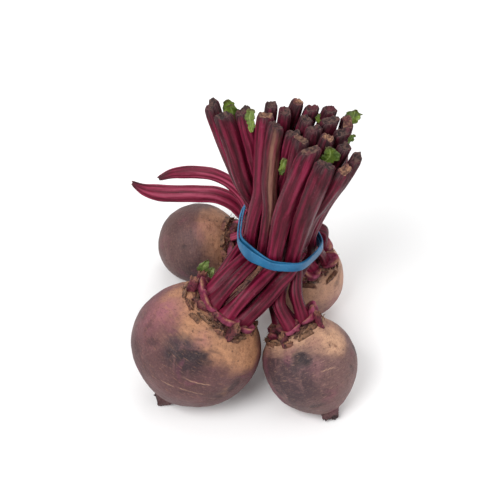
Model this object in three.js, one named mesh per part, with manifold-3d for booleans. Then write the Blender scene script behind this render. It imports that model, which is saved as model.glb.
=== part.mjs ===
// A bunch of four beetroots with trimmed leaf stems, tied by one doubled rubber band.
// Millimetres, +Z up. The bunch stands on the small flat spots of its four roots.
import * as THREE from 'three';
import Module from 'manifold-3d';

// Driving dimensions
const PLAN_CENTRE_X = -5.2;
const PLAN_CENTRE_Y = 45.6;
const PIECE_GAP = 0.35;
const STEM_SPACE = 1.1;
const STEM_NODES = 13;
const STEM_RINGS = 11;
const STEM_SIDES = 12;
const RELAX_PASSES = 380;
const SETTLE_PASSES = 160;
const FOOT_HALF_WIDTH = 5;
const FOOT_HALF_THICKNESS = 4;
const CHANNEL_DEPTH = 0.34;
const WAIST_CENTRE = [15.4, 41, 91];
const WAIST_LENGTH = 7;
const WAIST_PULL = 0.022;
const WAIST_REACH = 26;
const WAIST_SQUEEZE = 2;
const HOME_PULL = 0.08;
const STEM_SLIMNESS = 0.74;
const STEM_SWELLING = 0.28;
const BUNDLE_AXIS = [0.2, -0.04, 0.98];
const BAND_WIDTH = 6.35;
const BAND_THICKNESS = 1.1;
const BAND_SPREAD = 2.2;
const BAND_STATIONS = 76;
const LEAF_THICKNESS = 0.8;
const LEAF_WAVE = 1.22;
const SPROUT_CLEARANCE = 1.1;
const FLOOR_BLOCK = 400;
const TAIL_STATIONS = 6;
const TAIL_SIDES = 9;
const LEAF_BASE_SIDES = 6;
const STUB_SIDES = 10;
const ROOTED_DEPTH = 3;
const FOOT_LIFT = 0.2;
const FOOT_SETTLE = 0.15;
const CUT_HOLLOW = 0.9;
const WAIST_WINDOW = 20;
const BAND_CORNER = 0.3;
const BLADE_STATIONS = 6;

// Colours from the photograph
const SKIN = new THREE.MeshStandardMaterial({ color: '#8b6257', roughness: 0.72, metalness: 0 });
const STEM = new THREE.MeshStandardMaterial({ color: '#7c1f40', roughness: 0.5, metalness: 0 });
const LEAF = new THREE.MeshStandardMaterial({ color: '#5f8a3a', roughness: 0.6, metalness: 0 });
const BAND = new THREE.MeshStandardMaterial({ color: '#2f82b4', roughness: 0.45, metalness: 0 });

// Each beet: middle of the root, radius, flatness along the crown's direction, direction of the crown,
// row of the stem feet, radius of the ring of old leaf bases, line of the tail root and its radii, and
// broken stem bases (place on the crown, length, half width, roll).
const BEETS = {
  large: {
    node: 'beet_large',
    middle: [-32.3, 4.2, 36.9],
    radius: 39.2,
    flatness: 0.91,
    crown: [0.52, 0.17, 0.84],
    row: [0.55, -0.82, -0.18],
    scarRing: 0.53,
    scars: 15,
    seed: 11,
    tail: [[-44, -5, 12], [-50, -8.5, 6.5], [-55, -11.5, 4.2], [-57.5, -12.5, 3.8]],
    tailRadii: [12, 7.4, 4.8, 3.2],
    stubs: [[-15.5, -14, 9, 3.8, 12], [20, -9.5, 10, 4, 200], [-20.5, -3.5, 8, 3.6, 60]],
  },
  right: {
    node: 'beet_right',
    middle: [36, -4, 28.4],
    radius: 28.5,
    flatness: 1,
    crown: [-0.42, 0.45, 0.79],
    row: [1, 0, 0],
    scarRing: 0.56,
    scars: 13,
    seed: 23,
    tail: [[43, -14, 10], [47, -20, 6.5], [49.5, -24.5, 4.4], [50.5, -27, 3.6]],
    tailRadii: [10.5, 6.4, 4.4, 3],
    stubs: [[15.5, -8.5, 9, 3.2, 150], [-6, -15.5, 6, 3.6, 20]],
  },
  backLeft: {
    node: 'beet_back_left',
    middle: [-32.6, 100, 26],
    radius: 26.4,
    flatness: 1,
    crown: [0.95, -0.2, 0.2],
    row: [0, 1, 0],
    scarRing: 0.58,
    scars: 12,
    seed: 37,
    tail: [[-46, 108, 17], [-53, 112, 13], [-57, 115, 10.5], [-58.5, 116.5, 9.5]],
    tailRadii: [9, 4.6, 2.8, 2],
    stubs: [[-2, -14, 8, 3.8, 10]],
  },
  backRight: {
    node: 'beet_back_right',
    middle: [32.3, 69, 27],
    radius: 27.4,
    flatness: 1,
    crown: [0.2, -0.24, 0.95],
    row: [1, 0, 0],
    scarRing: 0.56,
    scars: 12,
    seed: 53,
    tail: [[28, 77, 9], [29, 85, 5.5], [30, 91, 4], [31, 93.5, 3.6]],
    tailRadii: [9, 4.4, 2.7, 2],
    stubs: [[-5, -15.5, 8, 3.4, 100]],
  },
};

// Half section of a root in radii: distance from the axis, height over the middle.
const ROOT_OUTLINE = [
  [0.24, 0.945],
  [0.44, 0.915],
  [0.56, 0.845],
  [0.7, 0.725],
  [0.85, 0.535],
  [0.96, 0.29],
  [1, 0.02],
  [0.975, -0.25],
  [0.895, -0.48],
  [0.765, -0.675],
  [0.59, -0.835],
  [0.4, -0.945],
  [0.2, -1.005],
];
const CROWN_HEIGHT = 0.95;
const ROOT_SIDES = 26;

// Each stem in the bunch: plant, foot on the crown (along the row, across it), place in the waist
// (right, back), cut end, width and thickness there, roll of the width in degrees, slant of the cut.
const STEMS = [
  ['stem_01', 'large', -15, 2, -18.5, 1, -22, 55, 180, 9.2, 7, 60, 0.3],
  ['stem_02', 'large', -5, 15, -12, 3, -15, 46, 180, 9.8, 7.2, 20, -0.2],
  ['stem_03', 'large', -6, 5, -8, 8, -4.5, 48.5, 181, 8.4, 7, 30, 0.3],
  ['stem_04', 'large', -9, -7, -16, -7, 10, 42.5, 182, 10, 8.2, -25, 0.1],
  ['stem_05', 'large', -1, -10.5, -10.5, -12.5, 17.5, 36, 181, 9, 7.6, -12, -0.3],
  ['stem_06', 'large', 3, 1, -5, -6, 24, 30.5, 178, 8.6, 7, 0, 0.2],
  ['stem_07', 'large', 9.6, -7, -2.5, -15, 32.5, 18, 180, 11.6, 8, -4, 0.75],
  ['stem_08', 'large', 15, 2, 7, -14.5, 42.5, 10, 176, 12, 8, 8, -0.35],
  ['stem_09', 'right', 8, -2.5, 14, -9.5, 49.5, 12, 172, 9, 7.6, 30, 0.3],
  ['stem_10', 'right', 8.5, 7, 19, -1.5, 54, 17.5, 174, 8.4, 7.2, 75, 0.4],
  ['stem_11', 'right', -0.5, -8, 11.5, -1, 50.5, 27.5, 180, 8.6, 7.4, 40, -0.2],
  ['stem_12', 'backRight', 8.5, -1, 18, 6.5, 51.5, 39, 180, 9, 7.6, 100, 0.5],
  ['stem_13', 'backRight', 0, -8, 9, 5.5, 44, 36.5, 184, 10.8, 7.6, 20, 0.2],
  ['stem_14', 'backRight', 6, 8, 6, 16, 43.5, 44.5, 184, 8.4, 7.6, 0, 0],
  ['stem_15', 'backLeft', 5, -8, 1.5, 8.5, 32, 37.5, 182, 9, 8.4, 90, -0.2],
  ['stem_16', 'backRight', -4, 7, -1.5, 16.5, 33, 46.5, 183, 8.2, 7.8, 0, 0.2],
  ['stem_17', 'backLeft', 10, 0, -8, 15, 26, 48.5, 183, 8.2, 8, 90, -0.2],
  ['stem_18', 'backLeft', 0, 1, -5, 8, 20, 50.5, 182, 8.4, 8, 90, 0.2],
  ['stem_19', 'backLeft', -10, 1, -15, 10, 13, 50, 182, 8, 7.8, 90, 0],
  ['stem_20', 'large', 7.6, 9.6, 1.5, -7, 28.5, 27.5, 181, 9.4, 7.6, 0, -0.4],
  ['stem_21', 'right', 0, 1, 2.5, 0.5, 37, 30.5, 183, 8.6, 7.4, 0, 0.3],
  ['stem_22', 'right', -7, 7, 7.5, -6, 43.5, 28.5, 182, 8.6, 7.4, 10, -0.2],
  ['stem_23', 'backRight', -8, -1, 12.5, 12, 49, 24, 180, 8.6, 7.4, 20, 0.3],
];

// Two broken stems of the back left root that the band doesn't hold: foot on the crown, line of the
// stem, width, thickness, share of its size left at the torn end.
const LOOSE_STEMS = [
  {
    node: 'loose_stem_upper',
    plant: 'backLeft',
    foot: [-4, 10],
    line: [[-3, 100, 60], [-10, 106, 71], [-22, 110, 77], [-37, 112, 77.5], [-50, 112, 76],
      [-58, 112, 71.5]],
    width: 7.4,
    thickness: 5.2,
    end: 0.45,
  },
  {
    node: 'loose_stem_lower',
    plant: 'backLeft',
    foot: [6.5, 8.5],
    line: [[-8, 104, 55], [-20, 107, 62], [-36, 108, 62.5], [-54, 109, 62], [-67, 110, 64],
      [-75, 110, 70]],
    width: 10.2,
    thickness: 4.4,
    end: 0.3,
  },
];

// Two young leaves on the crown of the large root: name, foot on the crown, height, lean, turn of the
// blade in degrees, half widths.
const SPROUTS = [
  ['leaf_sprout_01', [-25, 3], 16, [4, 1], 10, [0.8, 1, 3, 2.9, 0.8]],
  ['leaf_sprout_02', [-23.5, 10], 12, [2.5, 0], -35, [0.8, 1.6, 2.3, 1.8, 0.7]],
];

// Torn scraps of green blade beside the cut ends: name, stem, side in degrees, how far the scrap
// starts below the cut end, how far it ends above it, outward curl, half widths.
const LEAF_SCRAPS = [
  ['leaf_scrap_01', 'stem_01', 28, 19, -2.5, 1.5, [1, 3, 4, 3.4, 1.6]],
  ['leaf_scrap_02', 'stem_02', 62, 14, 0, 1, [0.8, 2.6, 3.6, 2]],
  ['leaf_scrap_03', 'stem_04', 176, 13, 2.5, 0.4, [0.8, 2, 2.6, 1.8]],
  ['leaf_scrap_04', 'stem_06', -114, 29, -15, 0.4, [0.7, 1.8, 2.2, 1]],
  ['leaf_scrap_05', 'stem_07', 10, 12, 3, 0.6, [1.4, 3.8, 4.6, 4.2, 1.8]],
  ['leaf_scrap_06', 'stem_13', 176, 4, 3, 0.2, [0.6, 0.9, 1.1, 0.7]],
  ['leaf_scrap_07', 'stem_11', 60, 5, 3, 0.4, [0.6, 1.2, 1.6, 1]],
  ['leaf_scrap_08', 'stem_12', 60, 9, 3, 0.6, [1.2, 3.2, 4, 3.4, 1.4]],
];

const wasm = await Module();
wasm.setup();

// Vector helpers
function vec(list) {
  return new THREE.Vector3(list[0], list[1], list[2]);
}

function unit(list) {
  return vec(list).normalize();
}

// Seeded draw between 0 and 1
function seeded(seed) {
  let state = seed;
  return () => {
    state = (state * 16807) % 2147483647;
    return state / 2147483647;
  };
}

// A frame at right angles to a direction, its first axis close to a wanted one
function frameFor(along, wanted) {
  const first = wanted.clone().addScaledVector(along, -wanted.dot(along)).normalize();
  const second = along.clone().cross(first);
  return [first, second];
}

// A closed skin over rings of points, with a fan over each end
function skin(rings, startPoint, endPoint) {
  const sides = rings[0].length;
  const positions = [];
  const faces = [];
  for (const ring of rings) {
    for (const p of ring) {
      positions.push(p.x, p.y, p.z);
    }
  }
  for (let r = 0; r + 1 < rings.length; r += 1) {
    for (let j = 0; j < sides; j += 1) {
      const k = (j + 1) % sides;
      const a = r * sides + j;
      const b = r * sides + k;
      faces.push(a, b, a + sides);
      faces.push(b, b + sides, a + sides);
    }
  }
  const start = positions.length / 3;
  const last = (rings.length - 1) * sides;
  positions.push(startPoint.x, startPoint.y, startPoint.z);
  positions.push(endPoint.x, endPoint.y, endPoint.z);
  for (let j = 0; j < sides; j += 1) {
    const k = (j + 1) % sides;
    faces.push(start, k, j);
    faces.push(start + 1, last + j, last + k);
  }
  const geometry = new THREE.BufferGeometry();
  geometry.setAttribute('position', new THREE.Float32BufferAttribute(positions, 3));
  geometry.setIndex(faces);
  return geometry;
}

// The middle of a ring of points
function middleOf(ring) {
  const sum = new THREE.Vector3();
  for (const p of ring) {
    sum.add(p);
  }
  return sum.divideScalar(ring.length);
}

function toSolid(geometry) {
  return new wasm.Manifold(new wasm.Mesh({
    numProp: 3,
    vertProperties: new Float32Array(geometry.attributes.position.array),
    triVerts: new Uint32Array(geometry.index.array),
  }));
}

function toGeometry(solid) {
  const mesh = solid.getMesh();
  const geometry = new THREE.BufferGeometry();
  geometry.setAttribute('position', new THREE.BufferAttribute(mesh.vertProperties, 3));
  geometry.setIndex(new THREE.BufferAttribute(mesh.triVerts, 1));
  return geometry;
}

// Height of a root's crown over its middle, by distance from the axis, in millimetres
function crownHeight(beet, distance) {
  const outline = [[0, CROWN_HEIGHT], ...ROOT_OUTLINE];
  const x = distance / beet.radius;
  for (let i = 0; i + 1 < outline.length; i += 1) {
    if (x <= outline[i + 1][0]) {
      const share = (x - outline[i][0]) / (outline[i + 1][0] - outline[i][0]);
      const height = outline[i][1] + share * (outline[i + 1][1] - outline[i][1]);
      return beet.radius * beet.flatness * height;
    }
  }
  return 0;
}

// A place on a crown: along the row, across it, height over the skin
function onCrown(beet, along, across, over) {
  const axis = unit(beet.crown);
  const [first, second] = frameFor(axis, unit(beet.row));
  const height = crownHeight(beet, Math.hypot(along, across)) + over;
  return vec(beet.middle)
    .addScaledVector(first, along)
    .addScaledVector(second, across)
    .addScaledVector(axis, height);
}

// The swollen root: a lathed outline with shallow lobes that fade out on the crown
function rootBody(beet) {
  const axis = unit(beet.crown);
  const [first, second] = frameFor(axis, unit(beet.row));
  const middle = vec(beet.middle);
  const rings = ROOT_OUTLINE.map(([distance, height]) => {
    const ring = [];
    for (let j = 0; j < ROOT_SIDES; j += 1) {
      const turn = (2 * Math.PI * j) / ROOT_SIDES;
      const fade = Math.min(1, Math.max(0, (distance - 0.56) / 0.4));
      const lobe = 0.014 * Math.sin(2 * turn + beet.seed) + 0.01 * Math.sin(5 * turn + 2 * beet.seed);
      const reach = beet.radius * distance * (1 + fade * lobe);
      ring.push(middle.clone()
        .addScaledVector(first, reach * Math.cos(-turn))
        .addScaledVector(second, reach * Math.sin(-turn))
        .addScaledVector(axis, beet.radius * beet.flatness * height));
    }
    return ring;
  });
  const top = middle.clone().addScaledVector(axis, beet.radius * beet.flatness * CROWN_HEIGHT);
  const bottom = middle.clone().addScaledVector(axis, -1.015 * beet.flatness * beet.radius);
  return skin(rings, top, bottom);
}

// The tail root, bent along its line and cut blunt
function tailRoot(beet) {
  const curve = new THREE.CatmullRomCurve3(beet.tail.map(vec), false, 'centripetal');
  const rings = [];
  for (let r = 0; r <= TAIL_STATIONS; r += 1) {
    const t = r / TAIL_STATIONS;
    const centre = curve.getPoint(t);
    const along = curve.getTangent(t);
    const [first, second] = frameFor(along, new THREE.Vector3(0, 0, 1));
    const radius = widthAt(beet.tailRadii, t);
    const ring = [];
    for (let j = 0; j < TAIL_SIDES; j += 1) {
      const turn = (2 * Math.PI * j) / TAIL_SIDES;
      const wrinkle = 1 + 0.12 * Math.sin(3 * turn + r + beet.seed);
      ring.push(centre.clone()
        .addScaledVector(first, radius * wrinkle * Math.cos(turn))
        .addScaledVector(second, radius * wrinkle * Math.sin(turn)));
    }
    rings.push(ring);
  }
  return skin(rings, middleOf(rings[0]), middleOf(rings[rings.length - 1]));
}

// One old leaf base: a small ragged scale that leans out from the crown
function leafBase(beet, turn, distance, draw) {
  const axis = unit(beet.crown);
  const [first, second] = frameFor(axis, unit(beet.row));
  const outward = first.clone().multiplyScalar(Math.cos(turn)).addScaledVector(second, Math.sin(turn));
  const across = axis.clone().cross(outward);
  const foot = onCrown(beet, distance * Math.cos(turn), distance * Math.sin(turn), 0);
  const halfWidth = 2 + 1.6 * draw();
  const rise = 1.6 + 2.6 * draw();
  const lean = 0.35 + 0.5 * draw();
  const skew = draw() - 0.5;
  const levels = [[-ROOTED_DEPTH, 1, 1.5], [0.35, 0.95, 1.1], [0.75, 0.75, 0.75], [1, 0.42, 0.42]];
  const rings = levels.map(([up, wide, thick], level) => {
    const height = level === 0 ? up : up * rise;
    const out = Math.max(0, height) * lean;
    const centre = foot.clone()
      .addScaledVector(axis, height)
      .addScaledVector(outward, out)
      .addScaledVector(across, skew * Math.max(0, height) * 0.6);
    const ring = [];
    for (let j = 0; j < LEAF_BASE_SIDES; j += 1) {
      const angle = (2 * Math.PI * j) / LEAF_BASE_SIDES;
      ring.push(centre.clone()
        .addScaledVector(outward, thick * Math.cos(angle))
        .addScaledVector(across, wide * halfWidth * Math.sin(angle)));
    }
    return ring;
  });
  return skin(rings, middleOf(rings[0]), middleOf(rings[rings.length - 1]));
}

// Section of a leaf stem: an ellipse with a channel along its upper side and low ribs below
function stemSection(centre, first, second, halfWidth, halfThickness, sides = STEM_SIDES) {
  const ring = [];
  for (let j = 0; j < sides; j += 1) {
    const turn = (2 * Math.PI * j) / sides;
    const x = halfWidth * Math.cos(turn);
    let y = halfThickness * Math.sin(turn);
    if (Math.sin(turn) > 0) {
      y -= CHANNEL_DEPTH * halfThickness * Math.exp(-((x / (0.42 * halfWidth)) ** 2));
    } else {
      y *= 0.97 + 0.03 * Math.cos(6 * turn);
    }
    ring.push(centre.clone().addScaledVector(first, x).addScaledVector(second, y));
  }
  return ring;
}

// A short broken stem base that is part of the crown
function stemStub(beet, [along, across, length, halfWidth, roll]) {
  const axis = unit(beet.crown);
  const foot = onCrown(beet, along, across, -ROOTED_DEPTH);
  const outward = foot.clone().sub(onCrown(beet, 0, 0, -ROOTED_DEPTH)).normalize();
  const wanted = new THREE.Vector3(Math.cos(roll), Math.sin(roll), 0.3);
  const rings = [0, 0.45, 0.75, 1].map((t, level) => {
    const centre = foot.clone()
      .addScaledVector(axis, t * (length + ROOTED_DEPTH))
      .addScaledVector(outward, t * t * length * 0.35);
    const [first, second] = frameFor(axis.clone().addScaledVector(outward, 0.5 * t).normalize(), wanted);
    const width = halfWidth * (1 - 0.22 * level / 3);
    return stemSection(centre, first, second, width, width * 0.62, STUB_SIDES);
  });
  rings[3].forEach((p, j) => p.addScaledVector(axis, (j % 3) * 0.7 - 0.6));
  return skin(rings, middleOf(rings[0]), middleOf(rings[3]).addScaledVector(axis, -1.2));
}

// A whole root: body, tail, old leaf bases and broken stubs in one piece, flat where it rests
function wholeRoot(beet) {
  const draw = seeded(beet.seed);
  let solid = toSolid(rootBody(beet)).add(toSolid(tailRoot(beet)));
  for (let i = 0; i < beet.scars; i += 1) {
    const turn = (2 * Math.PI * (i + 0.7 * draw())) / beet.scars;
    const distance = beet.radius * (beet.scarRing + 0.09 * draw());
    solid = solid.add(toSolid(leafBase(beet, turn, distance, draw)));
  }
  for (const stub of beet.stubs) {
    solid = solid.add(toSolid(stemStub(beet, stub)));
  }
  const block = new THREE.BoxGeometry(FLOOR_BLOCK, FLOOR_BLOCK, FLOOR_BLOCK);
  const positions = [];
  const faces = [];
  const source = block.attributes.position;
  const seen = new Map();
  for (const index of block.index.array) {
    const corner = [source.getX(index), source.getY(index), source.getZ(index) - FLOOR_BLOCK / 2];
    const key = corner.join(' ');
    if (!seen.has(key)) {
      seen.set(key, positions.length / 3);
      positions.push(...corner);
    }
    faces.push(seen.get(key));
  }
  const floor = new THREE.BufferGeometry();
  floor.setAttribute('position', new THREE.Float32BufferAttribute(positions, 3));
  floor.setIndex(faces);
  return toGeometry(solid.subtract(toSolid(floor)));
}

// Bundle directions at the waist
const AXIS = unit(BUNDLE_AXIS);
const [ACROSS, BACK] = frameFor(AXIS, new THREE.Vector3(1, 0, 0));
const WAIST = vec(WAIST_CENTRE);

// Half size of a bunched stem along its line: a wider foot, then a slow swelling to the cut end
function sizeAlong(half, t, footHalf) {
  const foot = Math.min(footHalf, 1.3 * half);
  const share = Math.min(1, 4 * t);
  return foot * (1 - share) + half * share * (STEM_SLIMNESS + STEM_SWELLING * t);
}

// Share of a broken stem's size left along its line, which ends in a thin torn point
function pointed(t, end) {
  return (0.78 + 0.22 * Math.min(1, 5 * t)) * (1 - (1 - end) * Math.max(0, (t - 0.82) / 0.18));
}

// The drawn line of a bunched stem, before the stems make room for each other
function drawnStem(row) {
  const [node, plant, along, across, right, back, x, y, z, width, thickness, roll, slant] = row;
  const beet = BEETS[plant];
  const crown = unit(beet.crown);
  const foot = onCrown(beet, along, across, PIECE_GAP + FOOT_LIFT);
  const waist = WAIST.clone().addScaledVector(ACROSS, right).addScaledVector(BACK, back);
  const tip = new THREE.Vector3(x, y, z);
  const above = waist.clone().addScaledVector(AXIS, WAIST_LENGTH);
  const reach = tip.clone().sub(above);
  const points = [
    foot,
    foot.clone().addScaledVector(crown, 8),
    waist.clone().addScaledVector(AXIS, -WAIST_LENGTH),
    above,
    above.clone().addScaledVector(reach, 0.5).addScaledVector(AXIS, 1.5),
    tip,
  ];
  const curve = new THREE.CatmullRomCurve3(points, false, 'centripetal');
  const turn = (roll * Math.PI) / 180;
  return {
    node,
    plant,
    slant,
    nodes: curve.getSpacedPoints(STEM_NODES - 1),
    wanted: new THREE.Vector3(Math.cos(turn), Math.sin(turn), 0),
    halfWidth: (t) => sizeAlong(width / 2, t, FOOT_HALF_WIDTH),
    halfThickness: (t) => sizeAlong(thickness / 2, t, FOOT_HALF_THICKNESS),
    held: 1,
    bound: true,
  };
}

function drawnLooseStem(item) {
  const beet = BEETS[item.plant];
  const crown = unit(beet.crown);
  const foot = onCrown(beet, item.foot[0], item.foot[1], PIECE_GAP + FOOT_LIFT);
  const points = [foot, foot.clone().addScaledVector(crown, 5), ...item.line.map(vec)];
  const curve = new THREE.CatmullRomCurve3(points, false, 'centripetal');
  return {
    node: item.node,
    plant: item.plant,
    slant: 0.4,
    nodes: curve.getSpacedPoints(STEM_NODES - 1),
    wanted: new THREE.Vector3(0, 0.7, 0.7),
    halfWidth: (t) => (item.width / 2) * pointed(t, item.end),
    halfThickness: (t) => (item.thickness / 2) * pointed(t, item.end),
    held: 1,
    bound: false,
  };
}

// Frames and half sizes at the nodes of a stem's line
function dress(stem) {
  const last = stem.nodes.length - 1;
  stem.home = stem.nodes.map((p) => p.clone());
  stem.frames = stem.nodes.map((p, k) => {
    const before = stem.nodes[Math.max(0, k - 1)];
    const after = stem.nodes[Math.min(last, k + 1)];
    return frameFor(after.clone().sub(before).normalize(), stem.wanted);
  });
  stem.sizes = stem.nodes.map((p, k) => [stem.halfWidth(k / last), stem.halfThickness(k / last)]);
}

// How far a stem's section reaches in a direction
function reachOf(stem, node, direction) {
  const [first, second] = stem.frames[node];
  const [wide, thick] = stem.sizes[node];
  return Math.hypot(wide * first.dot(direction), thick * second.dot(direction));
}

// Closest places on two straight pieces, as shares of each
function closest(p1, q1, p2, q2) {
  const d1 = q1.clone().sub(p1);
  const d2 = q2.clone().sub(p2);
  const r = p1.clone().sub(p2);
  const a = d1.dot(d1);
  const e = d2.dot(d2);
  const f = d2.dot(r);
  const c = d1.dot(r);
  const b = d1.dot(d2);
  const denominator = a * e - b * b;
  let s = denominator > 1e-9 ? THREE.MathUtils.clamp((b * f - c * e) / denominator, 0, 1) : 0.5;
  const t = THREE.MathUtils.clamp((b * s + f) / e, 0, 1);
  s = THREE.MathUtils.clamp((b * t - c) / a, 0, 1);
  return [s, t];
}

// The stems make room for each other and for the roots, and stay smooth
function makeRoom(stems) {
  const spheres = Object.values(BEETS).map((beet) => [vec(beet.middle), beet.radius, beet]);
  for (let pass = 0; pass < RELAX_PASSES; pass += 1) {
    const moves = stems.map((stem) => stem.nodes.map(() => new THREE.Vector3()));
    const counts = stems.map((stem) => stem.nodes.map(() => 0));
    for (let i = 0; i < stems.length; i += 1) {
      for (let j = i + 1; j < stems.length; j += 1) {
        for (let k = 0; k + 1 < STEM_NODES; k += 1) {
          for (let m = 0; m + 1 < STEM_NODES; m += 1) {
            const p1 = stems[i].nodes[k];
            const q1 = stems[i].nodes[k + 1];
            const p2 = stems[j].nodes[m];
            const q2 = stems[j].nodes[m + 1];
            if (p1.distanceToSquared(p2) > 900) {
              continue;
            }
            const [s, t] = closest(p1, q1, p2, q2);
            const apart = p1.clone().lerp(q1, s).sub(p2.clone().lerp(q2, t));
            const distance = Math.max(1e-6, apart.length());
            apart.divideScalar(distance);
            const mine = reachOf(stems[i], s < 0.5 ? k : k + 1, apart);
            const theirs = reachOf(stems[j], t < 0.5 ? m : m + 1, apart);
            const short = mine + theirs + STEM_SPACE - distance;
            if (short > 0) {
              moves[i][k].addScaledVector(apart, short * (1 - s));
              moves[i][k + 1].addScaledVector(apart, short * s);
              moves[j][m].addScaledVector(apart, -short * (1 - t));
              moves[j][m + 1].addScaledVector(apart, -short * t);
              counts[i][k] += 1 - s;
              counts[i][k + 1] += s;
              counts[j][m] += 1 - t;
              counts[j][m + 1] += t;
            }
          }
        }
      }
      for (let k = 2; k < STEM_NODES; k += 1) {
        for (const [middle, radius, beet] of spheres) {
          const apart = stems[i].nodes[k].clone().sub(middle);
          const distance = apart.length();
          const own = beet === BEETS[stems[i].plant] && k < 4;
          const short = radius + stems[i].sizes[k][0] + 1 - distance;
          if (short > 0 && !own) {
            moves[i][k].addScaledVector(apart, (1.6 * short) / distance);
            counts[i][k] += 1;
          }
        }
      }
    }
    stems.forEach((stem, i) => {
      for (let k = stem.held; k < STEM_NODES; k += 1) {
        if (counts[i][k] > 0) {
          stem.nodes[k].addScaledVector(moves[i][k], 0.6 / Math.max(1, counts[i][k]));
        }
      }
      if (pass < RELAX_PASSES - SETTLE_PASSES) {
        for (let k = stem.held; k < STEM_NODES; k += 1) {
          const from = stem.nodes[k].clone().sub(WAIST);
          const height = from.dot(AXIS);
          const pull = stem.bound ? WAIST_PULL * Math.max(0, 1 - (height / WAIST_REACH) ** 2) : 0;
          from.addScaledVector(AXIS, -height);
          stem.nodes[k].addScaledVector(from, -pull);
          stem.nodes[k].addScaledVector(ACROSS, -pull * WAIST_SQUEEZE * from.dot(ACROSS));
          const home = HOME_PULL * (k / (STEM_NODES - 1)) ** 2;
          stem.nodes[k].lerp(stem.home[k], home);
        }
        const offsets = stem.nodes.map((p, k) => p.clone().sub(stem.home[k]));
        for (let k = stem.held; k < STEM_NODES; k += 1) {
          const next = offsets[Math.min(STEM_NODES - 1, k + 1)];
          const mean = offsets[k - 1].clone().add(next).multiplyScalar(0.5);
          stem.nodes[k].addScaledVector(mean.sub(offsets[k]), 0.3);
        }
      }
    });
  }
}

// A stem's closed body, its foot shaped to the crown and its cut end slanted and a little hollow
function stemBody(stem) {
  const beet = BEETS[stem.plant];
  const crown = unit(beet.crown);
  const curve = new THREE.CatmullRomCurve3(stem.nodes, false, 'centripetal');
  const rings = [];
  for (let r = 0; r < STEM_RINGS; r += 1) {
    const t = r / (STEM_RINGS - 1);
    const along = curve.getTangent(t);
    const [first, second] = frameFor(along, stem.wanted);
    const ring = stemSection(curve.getPoint(t), first, second, stem.halfWidth(t), stem.halfThickness(t));
    if (r === STEM_RINGS - 1) {
      const middle = curve.getPoint(t);
      ring.forEach((p) => p.addScaledVector(along, stem.slant * p.clone().sub(middle).dot(first)));
    }
    rings.push(ring);
  }
  const middle = vec(beet.middle);
  const settle = (p) => {
    const from = p.clone().sub(middle);
    const height = from.dot(crown);
    const distance = from.clone().addScaledVector(crown, -height).length();
    return p.addScaledVector(crown, crownHeight(beet, distance) + PIECE_GAP + FOOT_SETTLE - height);
  };
  rings[0].forEach(settle);
  const start = settle(middleOf(rings[0]));
  const end = middleOf(rings[STEM_RINGS - 1]).addScaledVector(curve.getTangent(1), -CUT_HOLLOW);
  return skin(rings, start, end);
}

// Points on the skins of the stems near the waist, as right, back and up from its centre
function waistPoints(stems) {
  const points = [];
  for (const stem of stems) {
    const curve = new THREE.CatmullRomCurve3(stem.nodes, false, 'centripetal');
    for (let r = 0; r <= 120; r += 1) {
      const t = r / 120;
      const centre = curve.getPoint(t);
      if (Math.abs(centre.clone().sub(WAIST).dot(AXIS)) > WAIST_WINDOW) {
        continue;
      }
      const [first, second] = frameFor(curve.getTangent(t), stem.wanted);
      const ring = stemSection(centre, first, second, stem.halfWidth(t), stem.halfThickness(t));
      for (const p of ring) {
        p.sub(WAIST);
        points.push([p.dot(ACROSS), p.dot(BACK), p.dot(AXIS)]);
      }
    }
  }
  return points;
}

// How far the bundle reaches from its axis, by turn, at a height over the waist
function bundleReach(points, height) {
  const turns = 96;
  const near = points.filter((p) => Math.abs(p[2] - height) < 0.9);
  const supports = [];
  for (let i = 0; i < turns; i += 1) {
    const turn = (2 * Math.PI * i) / turns;
    supports.push(Math.max(...near.map((p) => p[0] * Math.cos(turn) + p[1] * Math.sin(turn))));
  }
  return (turn) => {
    let reach = Infinity;
    for (let i = 0; i < turns; i += 1) {
      const lean = Math.cos(turn - (2 * Math.PI * i) / turns);
      if (lean > 0.3) {
        reach = Math.min(reach, supports[i] / lean);
      }
    }
    return reach;
  };
}

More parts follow.
